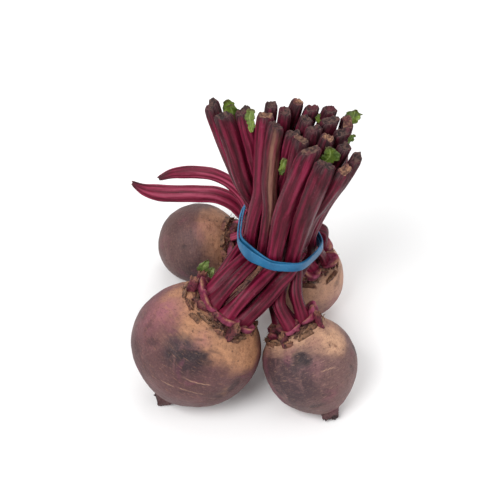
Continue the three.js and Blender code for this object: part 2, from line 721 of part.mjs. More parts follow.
// The rubber band: one closed loop that goes twice round the bundle and crosses itself
function bandBody(stems) {
  const points = waistPoints(stems);
  const levels = [];
  for (let level = -10; level <= 10; level += 1) {
    levels.push(bundleReach(points, level));
  }
  const reachAt = (turn, height) => {
    const place = THREE.MathUtils.clamp(height + 10, 0, 19.999);
    const low = Math.floor(place);
    const share = place - low;
    return levels[low](turn) * (1 - share) + levels[low + 1](turn) * share;
  };
  const rings = [];
  const lift = (BAND_THICKNESS + PIECE_GAP) / 2;
  for (let i = 0; i < BAND_STATIONS; i += 1) {
    const swing = (4 * Math.PI * i) / BAND_STATIONS;
    const turn = swing - Math.PI / 2;
    const height = BAND_SPREAD * Math.sin(swing / 2);
    const layer = lift * THREE.MathUtils.clamp(1.6 * Math.cos(swing / 2), -1, 1);
    const upper = reachAt(turn, height + BAND_WIDTH / 2);
    const lower = reachAt(turn, height - BAND_WIDTH / 2);
    const straight = (upper + lower) / 2;
    const reach = Math.max(reachAt(turn, height), straight);
    const outward = ACROSS.clone().multiplyScalar(Math.cos(turn)).addScaledVector(BACK, Math.sin(turn));
    const radius = reach + 4 * PIECE_GAP + BAND_THICKNESS / 2 + lift + layer;
    const centre = WAIST.clone().addScaledVector(AXIS, height).addScaledVector(outward, radius);
    const wide = AXIS.clone().addScaledVector(outward, (upper - lower) / BAND_WIDTH).normalize();
    rings.push({ centre, wide });
  }
  const count = rings.length;
  const sections = rings.map(({ centre, wide }, i) => {
    const before = rings[(i + count - 1) % count].centre;
    const along = rings[(i + 1) % count].centre.clone().sub(before).normalize();
    const [first, second] = frameFor(along, wide);
    const w = BAND_WIDTH / 2;
    const t = BAND_THICKNESS / 2;
    const c = BAND_CORNER;
    const outline = [[w, t - c], [w - c, t], [c - w, t], [-w, t - c],
      [-w, c - t], [c - w, -t], [w - c, -t], [w, c - t]];
    return outline.map(([x, y]) => centre.clone().addScaledVector(first, x).addScaledVector(second, y));
  });
  const positions = [];
  const faces = [];
  sections.forEach((ring) => ring.forEach((p) => positions.push(p.x, p.y, p.z)));
  for (let r = 0; r < count; r += 1) {
    for (let j = 0; j < 8; j += 1) {
      const a = r * 8 + j;
      const b = r * 8 + ((j + 1) % 8);
      const c = ((r + 1) % count) * 8 + j;
      const d = ((r + 1) % count) * 8 + ((j + 1) % 8);
      faces.push(a, b, c);
      faces.push(b, d, c);
    }
  }
  const geometry = new THREE.BufferGeometry();
  geometry.setAttribute('position', new THREE.Float32BufferAttribute(positions, 3));
  geometry.setIndex(faces);
  return geometry;
}

// A half width between the listed ones, by share of the length
function widthAt(widths, t) {
  const place = t * (widths.length - 1);
  const low = Math.min(widths.length - 2, Math.floor(place));
  return widths[low] + (place - low) * (widths[low + 1] - widths[low]);
}

// A leaf blade: a thin plate folded a little along its midline, with a waved edge
function bladeBody(line, across, widths, index) {
  const curve = new THREE.CatmullRomCurve3(line, false, 'centripetal');
  const rings = [];
  for (let r = 0; r <= BLADE_STATIONS; r += 1) {
    const t = r / BLADE_STATIONS;
    const [first, second] = frameFor(curve.getTangent(t), across);
    const half = widthAt(widths, t);
    const left = half * (1 + (LEAF_WAVE - 1) * Math.sin(5 * r + index));
    const right = half * (1 + (LEAF_WAVE - 1) * Math.cos(4 * r + 2 * index));
    const wave = 0.3 * Math.sin(2.3 * r + index);
    const t2 = LEAF_THICKNESS / 2;
    const fold = -0.18 * half;
    const outline = [[right, fold + wave - t2], [right, fold + wave + t2], [0, t2],
      [-left, fold - wave + t2], [-left, fold - wave - t2], [0, -t2]];
    const centre = curve.getPoint(t);
    rings.push(outline.map(([x, y]) => centre.clone().addScaledVector(first, x).addScaledVector(second, y)));
  }
  return skin(rings, middleOf(rings[0]), middleOf(rings[BLADE_STATIONS]));
}

// A torn scrap that stands close along one side of its stem's cut end and faces the front
function scrapBody([, hostName, side, below, above, curl, half], index, stems) {
  const host = stems.find((stem) => stem.node === hostName);
  const last = STEM_NODES - 1;
  const tip = host.nodes[last];
  const along = tip.clone().sub(host.nodes[last - 1]).normalize();
  const turn = (side * Math.PI) / 180;
  const [outward] = frameFor(along, new THREE.Vector3(Math.cos(turn), Math.sin(turn), 0));
  const across = new THREE.Vector3(1, 0, 0);
  const [wide, thick] = frameFor(along, across);
  const beside = Math.abs(outward.dot(wide)) * LEAF_WAVE;
  const behind = Math.abs(outward.dot(thick)) * 2 * LEAF_THICKNESS;
  const off = reachOf(host, last, outward) + PIECE_GAP + behind;
  const line = [];
  for (let r = 0; r <= BLADE_STATIONS; r += 1) {
    const t = r / BLADE_STATIONS;
    line.push(tip.clone()
      .addScaledVector(along, -below + t * (below + above))
      .addScaledVector(outward, off + beside * widthAt(half, t) + curl * t * t));
  }
  return bladeBody(line, across, half, index);
}

// A young leaf that stands up from the crown of the large root
function sproutBody([, place, height, lean, side, half], index) {
  const foot = onCrown(BEETS.large, place[0], place[1], SPROUT_CLEARANCE);
  const turn = (side * Math.PI) / 180;
  const line = [0, 0.35, 0.7, 1].map((t) => foot.clone()
    .add(new THREE.Vector3(lean[0] * t * t, lean[1] * t * t, height * t)));
  return bladeBody(line, new THREE.Vector3(Math.cos(turn), Math.sin(turn), 0), half, index);
}

function addMesh(group, name, geometry, material) {
  const mesh = new THREE.Mesh(geometry, material);
  mesh.name = name;
  group.add(mesh);
}

// Assembly
const bunch = new THREE.Group();
bunch.position.set(-PLAN_CENTRE_X, -PLAN_CENTRE_Y, 0);

for (const beet of Object.values(BEETS)) {
  addMesh(bunch, beet.node, wholeRoot(beet), SKIN);
}

const held = STEMS.map(drawnStem);
const loose = LOOSE_STEMS.map(drawnLooseStem);
const stems = [...held, ...loose];
stems.forEach(dress);
makeRoom(stems);
for (const stem of stems) {
  addMesh(bunch, stem.node, stemBody(stem), STEM);
}

LEAF_SCRAPS.forEach((item, index) => addMesh(bunch, item[0], scrapBody(item, index, held), LEAF));
SPROUTS.forEach((item, index) => addMesh(bunch, item[0], sproutBody(item, index), LEAF));

addMesh(bunch, 'rubber_band', bandBody(held), BAND);

const model = new THREE.Group();
model.add(bunch);

export default model;
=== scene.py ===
import math

import bmesh
import bpy
import numpy as np
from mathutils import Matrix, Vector, noise


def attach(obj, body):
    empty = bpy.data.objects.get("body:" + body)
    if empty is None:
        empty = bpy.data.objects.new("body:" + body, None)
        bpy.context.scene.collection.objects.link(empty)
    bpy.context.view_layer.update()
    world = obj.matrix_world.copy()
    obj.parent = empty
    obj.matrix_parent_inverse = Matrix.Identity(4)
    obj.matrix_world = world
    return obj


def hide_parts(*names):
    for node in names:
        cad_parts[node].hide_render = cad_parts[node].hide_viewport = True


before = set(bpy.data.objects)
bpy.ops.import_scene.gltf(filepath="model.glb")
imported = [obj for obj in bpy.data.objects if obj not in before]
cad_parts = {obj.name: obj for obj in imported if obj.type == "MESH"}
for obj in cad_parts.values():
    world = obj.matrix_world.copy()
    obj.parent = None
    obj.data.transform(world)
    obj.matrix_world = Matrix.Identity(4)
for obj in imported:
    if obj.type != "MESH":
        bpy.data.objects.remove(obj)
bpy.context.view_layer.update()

# Layout in millimetres, as the solids have it
PLAN_CENTRE = np.array([-5.2, 45.6, 0.0])
CROWN_HEIGHT = 0.95
LEAST_HEIGHT = 0.02

# The photo's view
VIEW_TARGET = (0, 45, 75)
VIEW_DISTANCE = 0.9
VIEW_ELEVATION = math.radians(45)
VIEW_ANGLE = math.radians(18.92)
SENSOR_WIDTH = 36

# Fineness of the meshes
STEM_RINGS = 100
STEM_SIDES = 66
TAIL_STATIONS = 64
TAIL_SIDES = 40
BLADE_STATIONS = 60
BLADE_STEPS = 32

# Small bodies on each crown
CRUMBS = 130
LUMPS = 34
FIBRES = 46

# Millimetres or shares by which the dressed shapes grow
TAIL_FLARE = 3.4
TAIL_WIDENING = 1.6
FRONT_STEMS = 3
FRONT_GROWTH = 0.24
STEM_GROWTH = 0.13
STRIPE_START = 62

# Each root, its crown's direction, its skin's rings and sides, its tail, its broken stubs and the
# feet of its stems
BEETS = {
    "large": {
        "node": "beet_large",
        "middle": [-32.3, 4.2, 36.9],
        "radius": 39.2,
        "flatness": 0.91,
        "crown": [0.52, 0.17, 0.84],
        "row": [0.55, -0.82, -0.18],
        "scar_ring": 0.53,
        "scars": 15,
        "seed": 11,
        "mesh": [190, 270],
        "tail": [[-44, -5, 12], [-50, -8.5, 6.5], [-55, -11.5, 4.2], [-57.5, -12.5, 3.8]],
        "tail_radii": [12, 7.4, 4.8, 3.2],
        "stubs": [[-15.5, -14, 9, 3.8, 12], [20, -9.5, 10, 4, 200], [-20.5, -3.5, 8, 3.6, 60]],
        "feet": [[-15, 2], [-9, -7], [-1, -10.5], [9.6, -7], [15, 2], [-5, 15], [7.6, 9.6]],
    },
    "right": {
        "node": "beet_right",
        "middle": [36, -4, 28.4],
        "radius": 28.5,
        "flatness": 1,
        "crown": [-0.42, 0.45, 0.79],
        "row": [1, 0, 0],
        "scar_ring": 0.56,
        "scars": 13,
        "seed": 23,
        "mesh": [150, 210],
        "tail": [[43, -14, 10], [47, -20, 6.5], [49.5, -24.5, 4.4], [50.5, -27, 3.6]],
        "tail_radii": [10.5, 6.4, 4.4, 3],
        "prong": [[47, -17, 7], [46.4, -22, 5.4], [45.4, -25.5, 3.8], [44.6, -28, 2.6]],
        "prong_radii": [5, 4, 2.3, 1.1],
        "stubs": [[15.5, -8.5, 9, 3.2, 150], [-6, -15.5, 6, 3.6, 20]],
        "feet": [[-0.5, -8], [8, -2.5], [8.5, 7], [-7, 7]],
    },
    "backLeft": {
        "node": "beet_back_left",
        "middle": [-32.6, 100, 26],
        "radius": 26.4,
        "flatness": 1,
        "crown": [0.95, -0.2, 0.2],
        "row": [0, 1, 0],
        "scar_ring": 0.58,
        "scars": 12,
        "seed": 37,
        "mesh": [140, 200],
        "tail": [[-46, 108, 17], [-53, 112, 13], [-57, 115, 10.5], [-58.5, 116.5, 9.5]],
        "tail_radii": [9, 4.6, 2.8, 2],
        "stubs": [[-2, -14, 8, 3.8, 10]],
        "feet": [[5, -8], [10, 0], [-10, 1]],
    },
    "backRight": {
        "node": "beet_back_right",
        "middle": [32.3, 69, 27],
        "radius": 27.4,
        "flatness": 1,
        "crown": [0.2, -0.24, 0.95],
        "row": [1, 0, 0],
        "scar_ring": 0.56,
        "scars": 12,
        "seed": 53,
        "mesh": [140, 200],
        "tail": [[28, 77, 9], [29, 85, 5.5], [30, 91, 4], [31, 93.5, 3.6]],
        "tail_radii": [9, 4.4, 2.7, 2],
        "stubs": [[-5, -15.5, 8, 3.4, 100]],
        "feet": [[8.5, -1], [0, -8], [6, 8], [-4, 7], [-8, -1]],
    },
}

# Half section of a root in radii, as the solids have it
ROOT_OUTLINE = [
    [0.24, 0.945], [0.44, 0.915], [0.56, 0.845], [0.7, 0.725], [0.85, 0.535], [0.96, 0.29], [1, 0.02],
    [0.975, -0.25], [0.895, -0.48], [0.765, -0.675], [0.59, -0.835], [0.4, -0.945], [0.2, -1.005],
]

STEMS = [f"stem_{number:02d}" for number in range(1, 24)]
LOOSE_STEMS = ["loose_stem_upper", "loose_stem_lower"]
# Stems given a darker copy of the crimson stem colours, as painted shade
SHADED_STEMS = ["stem_09", "stem_10", "stem_12", "stem_22"]
STRIPED_STEM = "stem_05"
LEAVES = [f"leaf_scrap_{number:02d}" for number in range(1, 9)] + ["leaf_sprout_01", "leaf_sprout_02"]


# Vector helpers on arrays of millimetre points
def unit(v):
    v = np.asarray(v, float)
    return v / np.linalg.norm(v, axis=-1, keepdims=True)


def clamp(values):
    return np.clip(values, 0, 1)


def circle(sides):
    return 2 * math.pi * np.arange(sides) / sides


def falloff(out, direction, reach_squared):
    return np.exp(-(((out - unit(direction)) ** 2).sum(1)) / reach_squared)


def rows_of(*columns):
    """Columns of numbers, or lone numbers, side by side."""
    return np.stack(np.broadcast_arrays(*columns), 1)


def frame_for(along, wanted):
    wanted = np.asarray(wanted, float)
    first = unit(wanted - along * np.sum(along * wanted, axis=-1, keepdims=True))
    return first, np.cross(along, first)


def seeded(seed):
    state = [seed]

    def draw():
        state[0] = (state[0] * 16807) % 2147483647
        return state[0] / 2147483647

    return draw


class Line:
    """A smooth curve through evenly numbered points, 0 at the first and 1 at the last."""

    def __init__(self, points):
        self.points = np.asarray(points, float)

    def at(self, t):
        count = len(self.points)
        return spline(self.points, clamp(np.atleast_1d(t)) * (count - 1), False)

    def heading(self, t):
        t = np.atleast_1d(np.asarray(t, float))
        return unit(self.at(np.minimum(t + 1e-3, 1)) - self.at(np.maximum(t - 1e-3, 0)))


def spline(values, places, closed):
    """Cubic through values at whole places; the first axis is the one walked along."""
    count = len(values)
    i = np.floor(places).astype(int)
    if not closed:
        i = np.clip(i, 0, count - 2)
    w = (places - i).reshape((-1,) + (1,) * (values.ndim - 1))

    def value(k):
        if closed:
            return values[k % count]
        before = 2 * values[0] - values[1]
        after = 2 * values[-1] - values[-2]
        inner = values[np.clip(k, 0, count - 1)]
        shape = (-1,) + (1,) * (values.ndim - 1)
        inner = np.where((k < 0).reshape(shape), before, inner)
        return np.where((k >= count).reshape(shape), after, inner)

    a, b, c, d = value(i - 1), value(i), value(i + 1), value(i + 2)
    return b + 0.5 * w * (c - a + w * (2 * a - 5 * b + 4 * c - d + w * (3 * (b - c) + d - a)))


# The rings of points that a stem's or blade's solid is skinned over, read back from its mesh
def rings_of(node):
    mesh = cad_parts[node].data
    places = np.array([v.co for v in mesh.vertices]) * 1000 + PLAN_CENTRE
    points, index = np.unique(places.round(3), axis=0, return_inverse=True)
    index = index.ravel()
    near = [set() for _ in points]
    for face in mesh.polygons:
        corners = {int(index[v]) for v in face.vertices}
        for corner in corners:
            near[corner] |= corners - {corner}
    ends = [i for i, others in enumerate(near) if all(len(near[j]) == 5 for j in others)]
    start, stop = sorted(ends, key=lambda i: points[i][2])
    seen = {start}
    edge = [start]
    rings = []
    while True:
        level = {j for i in edge for j in near[i]} - seen
        if level == {stop}:
            break
        seen |= level
        edge = list(level)
        rings.append(in_order(level, near))
    centres = np.array([points[ring].mean(0) for ring in rings])
    grid = []
    for r, ring in enumerate(rings):
        along = centres[min(r + 1, len(rings) - 1)] - centres[max(r - 1, 0)]
        spokes = points[ring] - centres[r]
        if (np.cross(spokes, np.roll(spokes, -1, 0)).sum(0) * along).sum() < 0:
            ring = ring[::-1]
        if r:
            above = sorted(ring.index(j) for j in near[rings[r - 1][0]] if j in ring)
            first = above[0] if above == [0, len(ring) - 1] else above[1]
            ring = ring[first:] + ring[:first]
        rings[r] = ring
        grid.append(points[ring])
    return np.array(grid)


def in_order(level, near):
    ring = [min(level)]
    while len(ring) < len(level):
        ring.append(min(j for j in near[ring[-1]] if j in level and j not in ring))
    return ring


def crown_height(beet, distance):
    outline = np.array([[0, CROWN_HEIGHT]] + ROOT_OUTLINE[:6])
    share = np.interp(np.asarray(distance) / beet["radius"], outline[:, 0], outline[:, 1])
    return beet["radius"] * beet["flatness"] * share


def spokes_of(theta, first, second, wide=1, thick=1):
    across = wide * np.cos(theta)[None, :, None] * first[:, None]
    return across + thick * np.sin(theta)[None, :, None] * second[:, None]


def crown_frame(beet):
    axis = unit(beet["crown"])
    return axis, *frame_for(axis, beet["row"])


def on_crown(beet, along, across, over):
    axis, first, second = crown_frame(beet)
    height = crown_height(beet, math.hypot(along, across)) + over
    return np.array(beet["middle"]) + first * along + second * across + axis * height


def crown_place(beet, turn, distance, over=0):
    """The crown's axis, the ways outward and across, and the foot, at a place on a crown."""
    axis, first, second = crown_frame(beet)
    outward = first * math.cos(turn) + second * math.sin(turn)
    foot = on_crown(beet, distance * math.cos(turn), distance * math.sin(turn), over)
    return axis, outward, np.cross(axis, outward), foot


# Meshes: points in layout millimetres become metres about the plan's centre
def to_metres(points):
    return (np.asarray(points, float).reshape(-1, 3) - PLAN_CENTRE) / 1000


def make_piece(name, points, faces, material, colours, vectors=None):
    points[:, 2] = np.maximum(points[:, 2], LEAST_HEIGHT)
    mesh = bpy.data.meshes.new(name)
    mesh.from_pydata(to_metres(points).tolist(), [], faces)
    mesh.update()
    mesh.shade_smooth()
    for key, values in colours.items():
        layer = mesh.color_attributes.new(key, "FLOAT_COLOR", "POINT")
        layer.data.foreach_set("color", np.asarray(values, np.float32).ravel())
    for key, values in (vectors or {}).items():
        layer = mesh.attributes.new(key, "FLOAT_VECTOR", "POINT")
        layer.data.foreach_set("vector", np.asarray(values, np.float32).ravel())
    mesh.materials.append(material)
    piece = bpy.data.objects.new(name, mesh)
    bpy.context.collection.objects.link(piece)
    return piece


def join(*parts):
    return np.concatenate(parts)


def capped(rings):
    """Rings of points in one row, with the middle of each end after them."""
    return join(rings.reshape(-1, 3), [rings[0].mean(0)], [rings[-1].mean(0)])


def tube_faces(rings, sides, offset=0):
    r, j = np.meshgrid(np.arange(rings - 1), np.arange(sides), indexing="ij")
    k = (j + 1) % sides
    quads = np.stack([r * sides + j, r * sides + k, (r + 1) * sides + k, (r + 1) * sides + j], -1)
    faces = (quads.reshape(-1, 4) + offset).tolist()
    start = rings * sides + offset
    last = (rings - 1) * sides + offset
    for j in range(sides):
        k = (j + 1) % sides
        faces.append([start, offset + k, offset + j])
        faces.append([start + 1, last + j, last + k])
    return faces


def section(turn, half_width, half_thickness):
    x = half_width * np.cos(turn)
    y = half_thickness * np.sin(turn)
    dip = 0.34 * half_thickness * np.exp(-((x / (0.42 * half_width)) ** 2))
    return x, np.where(np.sin(turn) > 0, y - dip, y)


# Shader helpers
class Shader:
    def __init__(self, name):
        self.material = bpy.data.materials.new(name)
        self.material.use_nodes = True
        self.tree = self.material.node_tree
        self.tree.nodes.clear()
        out = self.tree.nodes.new("ShaderNodeOutputMaterial")
        self.bsdf = self.tree.nodes.new("ShaderNodeBsdfPrincipled")
        self.tree.links.new(self.bsdf.outputs[0], out.inputs[0])
        self.place = self.node("TexCoord", "Object", {})

    def feed(self, value, socket):
        """A number or a colour is set on the socket; anything else is linked to it."""
        if isinstance(value, tuple):
            socket.default_value = (*value, 1)
        elif isinstance(value, (int, float)):
            socket.default_value = value
        else:
            self.tree.links.new(value, socket)

    def node(self, kind, output, inputs, **settings):
        node = self.tree.nodes.new("ShaderNode" + kind)
        for name, value in settings.items():
            setattr(node, name, value)
        for key, value in inputs.items():
            self.feed(value, node.inputs[key])
        return node.outputs if output is None else node.outputs[output]

    def vector(self, name):
        return self.node("Attribute", "Vector", {}, attribute_name=name)

    def channels(self, name):
        colour = self.node("Attribute", "Color", {}, attribute_name=name)
        return self.node("SeparateColor", None, {0: colour})

    def noise(self, scale, detail=4, rough=0.55, distortion=0, over=None):
        """Noise over the object's own coordinates, or over the given ones."""
        inputs = {"Vector": self.place if over is None else over, "Scale": scale, "Detail": detail}
        return self.node("TexNoise", "Fac", inputs | {"Roughness": rough, "Distortion": distortion})

    def cells(self, scale):
        return self.node("TexVoronoi", "Distance", {"Vector": self.place, "Scale": scale})

    def ramp(self, value, stops):
        node = self.tree.nodes.new("ShaderNodeValToRGB")
        ramp = node.color_ramp
        while len(ramp.elements) < len(stops):
            ramp.elements.new(0.5)
        for element, (place, colour) in zip(ramp.elements, stops):
            element.position = place
            element.color = (*colour, 1)
        self.feed(value, node.inputs[0])
        return node.outputs["Color"]

    def map(self, value, low, high, to_low=0.0, to_high=1.0):
        inputs = {"Value": value, "From Min": low, "From Max": high, "To Min": to_low, "To Max": to_high}
        return self.node("MapRange", "Result", inputs, interpolation_type="SMOOTHSTEP")

    def math(self, kind, a, b):
        return self.node("Math", 0, {0: a, 1: b}, operation=kind)

    def plus(self, a, b):
        return self.math("ADD", a, b)

    def minus(self, a, b):
        return self.math("SUBTRACT", a, b)

    def times(self, a, b):
        return self.math("MULTIPLY", a, b)

    def mix(self, factor, a, b):
        return self.node("Mix", 2, {0: factor, 6: a, 7: b}, data_type="RGBA")

    def layers(self, colour, *rows):
        """Colours laid over one another, each where its mask lets it through."""
        for mask, over in rows:
            colour = self.mix(mask, colour, over)
        return colour

    def coat(self, colour, rough, height, strength, distance, shine=0.5):
        inputs = self.bsdf.inputs
        bump = self.node("Bump", 0, {"Strength": strength, "Distance": distance, "Height": height})
        self.feed(colour, inputs["Base Color"])
        self.feed(rough, inputs["Roughness"])
        self.feed(shine, inputs["Specular IOR Level"])
        self.feed(bump, inputs["Normal"])
        return self.material


def rgb(*values):
    """Linear colour of screen values from 0 to 255."""
    shares = [value / 255 for value in values]
    return tuple(c / 12.92 if c <= 0.04045 else ((c + 0.055) / 1.055) ** 2.4 for c in shares)


def shade(colour, share):
    return tuple(c * share for c in colour)


# Root skin: cork and crust at the crown, dusky mauve below, belts, pits, blemishes and pale lines
def skin_material(name, tan, mauve, dusk, tan_end):
    s = Shader(name)
    belt = s.vector("belt")
    marks = s.channels("marks")
    zones = s.channels("zones")
    blotch = s.noise(38, 4, 0.55, 0.5)
    patch = s.noise(150, 4, 0.6, 0.3)
    grain = s.noise(900, 3, 0.6)
    mottle = s.noise(75, 5, 0.65, 1.2)
    streak = s.noise(1.5, 4, 0.6, 0.2, belt)
    lines = s.noise(3.6, 5, 0.7, 0.3, belt)
    around = s.minus(s.plus(blotch, s.times(patch, 0.5)), 0.75)
    crown = s.plus(marks[0], s.times(around, 0.22))
    crown = s.plus(crown, s.times(s.minus(streak, 0.5), 0.1))
    wander = s.minus(crown, s.times(zones[1], 0.16))
    dark = s.plus(zones[0], s.times(around, 0.55))
    low = s.layers(
        s.mix(s.map(dark, 0.1, 0.8), mauve, dusk),
        (s.map(mottle, 0.5, 0.68, 0, 0.55), shade(mauve, 1.5)),
        (s.map(mottle, 0.34, 0.46, 0.5, 0), shade(mauve, 0.6)),
        (s.map(blotch, 0.52, 0.66, 0, 0.4), rgb(122, 66, 84)),
    )
    cork = s.mix(s.map(patch, 0.35, 0.7), tan, shade(tan, 0.66))
    cork = s.mix(s.map(grain, 0.52, 0.72, 0, 0.5), cork, shade(tan, 0.5))
    crust = s.mix(s.map(patch, 0.4, 0.62), rgb(58, 40, 38), rgb(112, 78, 58))
    crust = s.mix(s.map(blotch, 0.52, 0.6), crust, rgb(84, 30, 46))
    pink_and_highlight = s.times(zones[2], s.map(mottle, 0.3, 0.55, 0.3, 0.9))
    pitted = s.times(s.map(s.cells(240), 0.08, 0.2, 0.7, 0), s.map(patch, 0.45, 0.6))
    specks = s.map(s.noise(420, 3, 0.7), 0.6, 0.7)
    rough = s.map(s.noise(330, 5, 0.75, 0.1), 0.5, 0.68, 0, 0.7)
    body = s.layers(
        s.mix(s.map(wander, tan_end - 0.12, tan_end + 0.12), cork, low),
        # Rose flush, partly the skin's own pink and partly a painted highlight on the sides facing the key
        # light
        (pink_and_highlight, rgb(138, 84, 94)),
        (s.map(crown, 0.155, 0.215, 1, 0), crust),
        (s.map(crown, 0.12, 0.17, 1, 0), rgb(44, 10, 20)),
        (s.map(streak, 0.58, 0.74, 0, 0.15), dusk),
        (pitted, rgb(62, 40, 38)),
        (s.times(specks, s.map(crown, 0.2, 0.4, 0.75, 0.15)), rgb(74, 46, 38)),
        (s.times(rough, s.map(zones[1], 0.55, 1.1)), rgb(104, 62, 44)),
        (s.times(marks[1], s.map(patch, 0.2, 0.6, 0.7, 1)), rgb(36, 24, 30)),
        (s.times(marks[2], s.map(patch, 0.3, 0.6, 0.25, 0.8)), rgb(176, 138, 114)),
        (s.map(grain, 0.5, 0.75, 0.0, 0.12), rgb(178, 144, 130)),
        (s.map(grain, 0.28, 0.46, 0.5, 0.0), rgb(58, 40, 42)),
        (s.map(lines, 0.54, 0.72, 0, 0.3), tan),
        (s.map(lines, 0.3, 0.44, 0.35, 0), dusk),
    )
    height = s.plus(s.times(grain, 0.4), s.times(streak, 0.4))
    height = s.plus(height, s.times(patch, 0.6))
    return s.coat(body, s.map(blotch, 0.3, 0.7, 0.5, 0.68), height, 0.65, 0.0009, 0.3)


# Stem skin: crimson with long streaks, a painted highlight along the ridges and painted shade in the
# furrows, dry and dark at the cut end
def stem_material(name, deep, mid, light):
    s = Shader(name)
    lane = s.vector("lane")
    fade = s.channels("fade")
    form = s.channels("form")
    streak = s.noise(0.7, 5, 0.65, 0.3, lane)
    fine = s.noise(2.4, 4, 0.7, 0.1, lane)
    patch = s.noise(90, 3, 0.6, 0.5)
    speck = s.noise(700, 3, 0.6)
    bruise = s.map(s.noise(0.35, 4, 0.6, 0.6, lane), 0.56, 0.7, 0, 0.6)
    edge = s.plus(fade[0], s.times(s.minus(patch, 0.5), 0.5))
    edge = s.plus(edge, s.times(s.minus(streak, 0.5), 0.35))
    edge = s.plus(edge, s.times(form[2], -0.1))
    dry = s.mix(s.map(fine, 0.38, 0.66), rgb(30, 18, 22), rgb(78, 58, 60))
    foot = s.plus(fade[1], s.times(patch, 0.3))
    body = s.layers(
        s.ramp(streak, [(0.32, deep), (0.5, mid), (0.72, light)]),
        # Painted highlight: the light colour laid along each ridge
        (s.map(form[0], 0.45, 1.0, 0, 0.6), light),
        # Painted shade: the deep colour laid in each furrow
        (s.map(form[0], 0.0, 0.35, 0.6, 0), deep),
        (s.map(fine, 0.55, 0.75, 0, 0.4), light),
        (s.map(fine, 0.28, 0.42, 0.45, 0), deep),
        (s.map(patch, 0.56, 0.72, 0, 0.2), rgb(64, 26, 38)),
        (s.map(speck, 0.6, 0.75, 0, 0.18), rgb(168, 96, 120)),
        (s.times(s.map(streak, 0.38, 0.62, 0.15, 0.85), fade[2]), rgb(128, 92, 76)),
        (s.times(bruise, s.map(fade[0], 0.3, 1.0, 1, 0.25)), rgb(38, 22, 32)),
        (s.map(edge, -0.1, 0.24, 0.9, 0), dry),
        (s.map(foot, 0.14, 0.42, 0.55, 0), light),
        (s.map(foot, 0.12, 0.19, 0.8, 0), rgb(168, 128, 104)),
    )
    height = s.plus(s.times(streak, 0.6), s.times(fine, 0.5))
    return s.coat(body, s.map(edge, 0.1, 0.5, 0.75, 0.4), height, 0.7, 0.0006, 0.16)


def cut_material():
    s = Shader("cut face")
    form = s.channels("form")
    spots = s.noise(520, 4, 0.65)
    wide = s.noise(140, 3, 0.6)
    dark = s.mix(s.map(spots, 0.4, 0.62), rgb(38, 24, 27), rgb(92, 66, 60))
    pale = s.mix(s.map(spots, 0.4, 0.62), rgb(80, 52, 44), rgb(158, 118, 92))
    body = s.mix(s.map(form[1], 0.62, 0.9), dark, pale)
    body = s.mix(s.map(wide, 0.48, 0.65, 0, 0.7), body, rgb(88, 30, 44))
    return s.coat(body, 0.85, spots, 0.8, 0.0008)


# Crown crumbs: tone holds how wine-red, how pale and how fresh a scale is
def crumb_material():
    s = Shader("crown crumbs")
    tone = s.channels("tone")
    spots = s.noise(620, 4, 0.65)
    wide = s.noise(200, 3, 0.6)
    brown = s.mix(s.map(spots, 0.35, 0.65), rgb(40, 26, 26), rgb(92, 64, 52))
    wine = s.mix(s.map(spots, 0.35, 0.65), rgb(52, 8, 24), rgb(108, 26, 52))
    wine = s.mix(s.map(wide, 0.5, 0.65, 0, 0.5), wine, rgb(140, 62, 84))
    fresh = s.mix(s.map(wide, 0.4, 0.62), rgb(128, 26, 66), rgb(172, 78, 112))
    pale = s.times(tone[1], s.map(spots, 0.3, 0.6, 0.15, 1))
    body = s.layers(brown, (tone[0], wine), (tone[2], fresh), (pale, rgb(158, 116, 86)))
    return s.coat(body, 0.7, spots, 0.7, 0.0006, 0.3)


def leaf_material(name, dark, light):
    s = Shader(name)
    blade = s.channels("blade")
    cells = s.cells(700)
    patch = s.noise(120, 3, 0.6)
    body = s.layers(
        s.mix(s.map(patch, 0.35, 0.65), dark, light),
        (s.map(cells, 0.0, 0.45, 0.4, 0), rgb(128, 150, 78)),
        (s.map(blade[0], 0.0, 0.12, 0.7, 0), rgb(146, 164, 96)),
        (s.map(blade[1], 0.84, 1.0, 0, 0.8), rgb(70, 50, 34)),
        (s.map(blade[2], 0.0, 0.3, 0.85, 0), rgb(110, 34, 54)),
    )
    s.bsdf.inputs["Subsurface Weight"].default_value = 0.12
    s.bsdf.inputs["Subsurface Radius"].default_value = (0.0006, 0.001, 0.0003)
    s.bsdf.inputs["Subsurface Scale"].default_value = 1.0
    return s.coat(body, 0.5, cells, 0.6, 0.0005)


def band_material():
    s = Shader("band rubber")
    fine = s.noise(900, 3, 0.6)
    wide = s.noise(60, 3, 0.5)
    body = s.mix(s.map(wide, 0.35, 0.65), rgb(14, 78, 116), rgb(34, 104, 146))
    body = s.mix(s.map(fine, 0.55, 0.8, 0, 0.3), body, rgb(104, 158, 188))
    return s.coat(body, 0.42, fine, 0.3, 0.0003, 0.4)


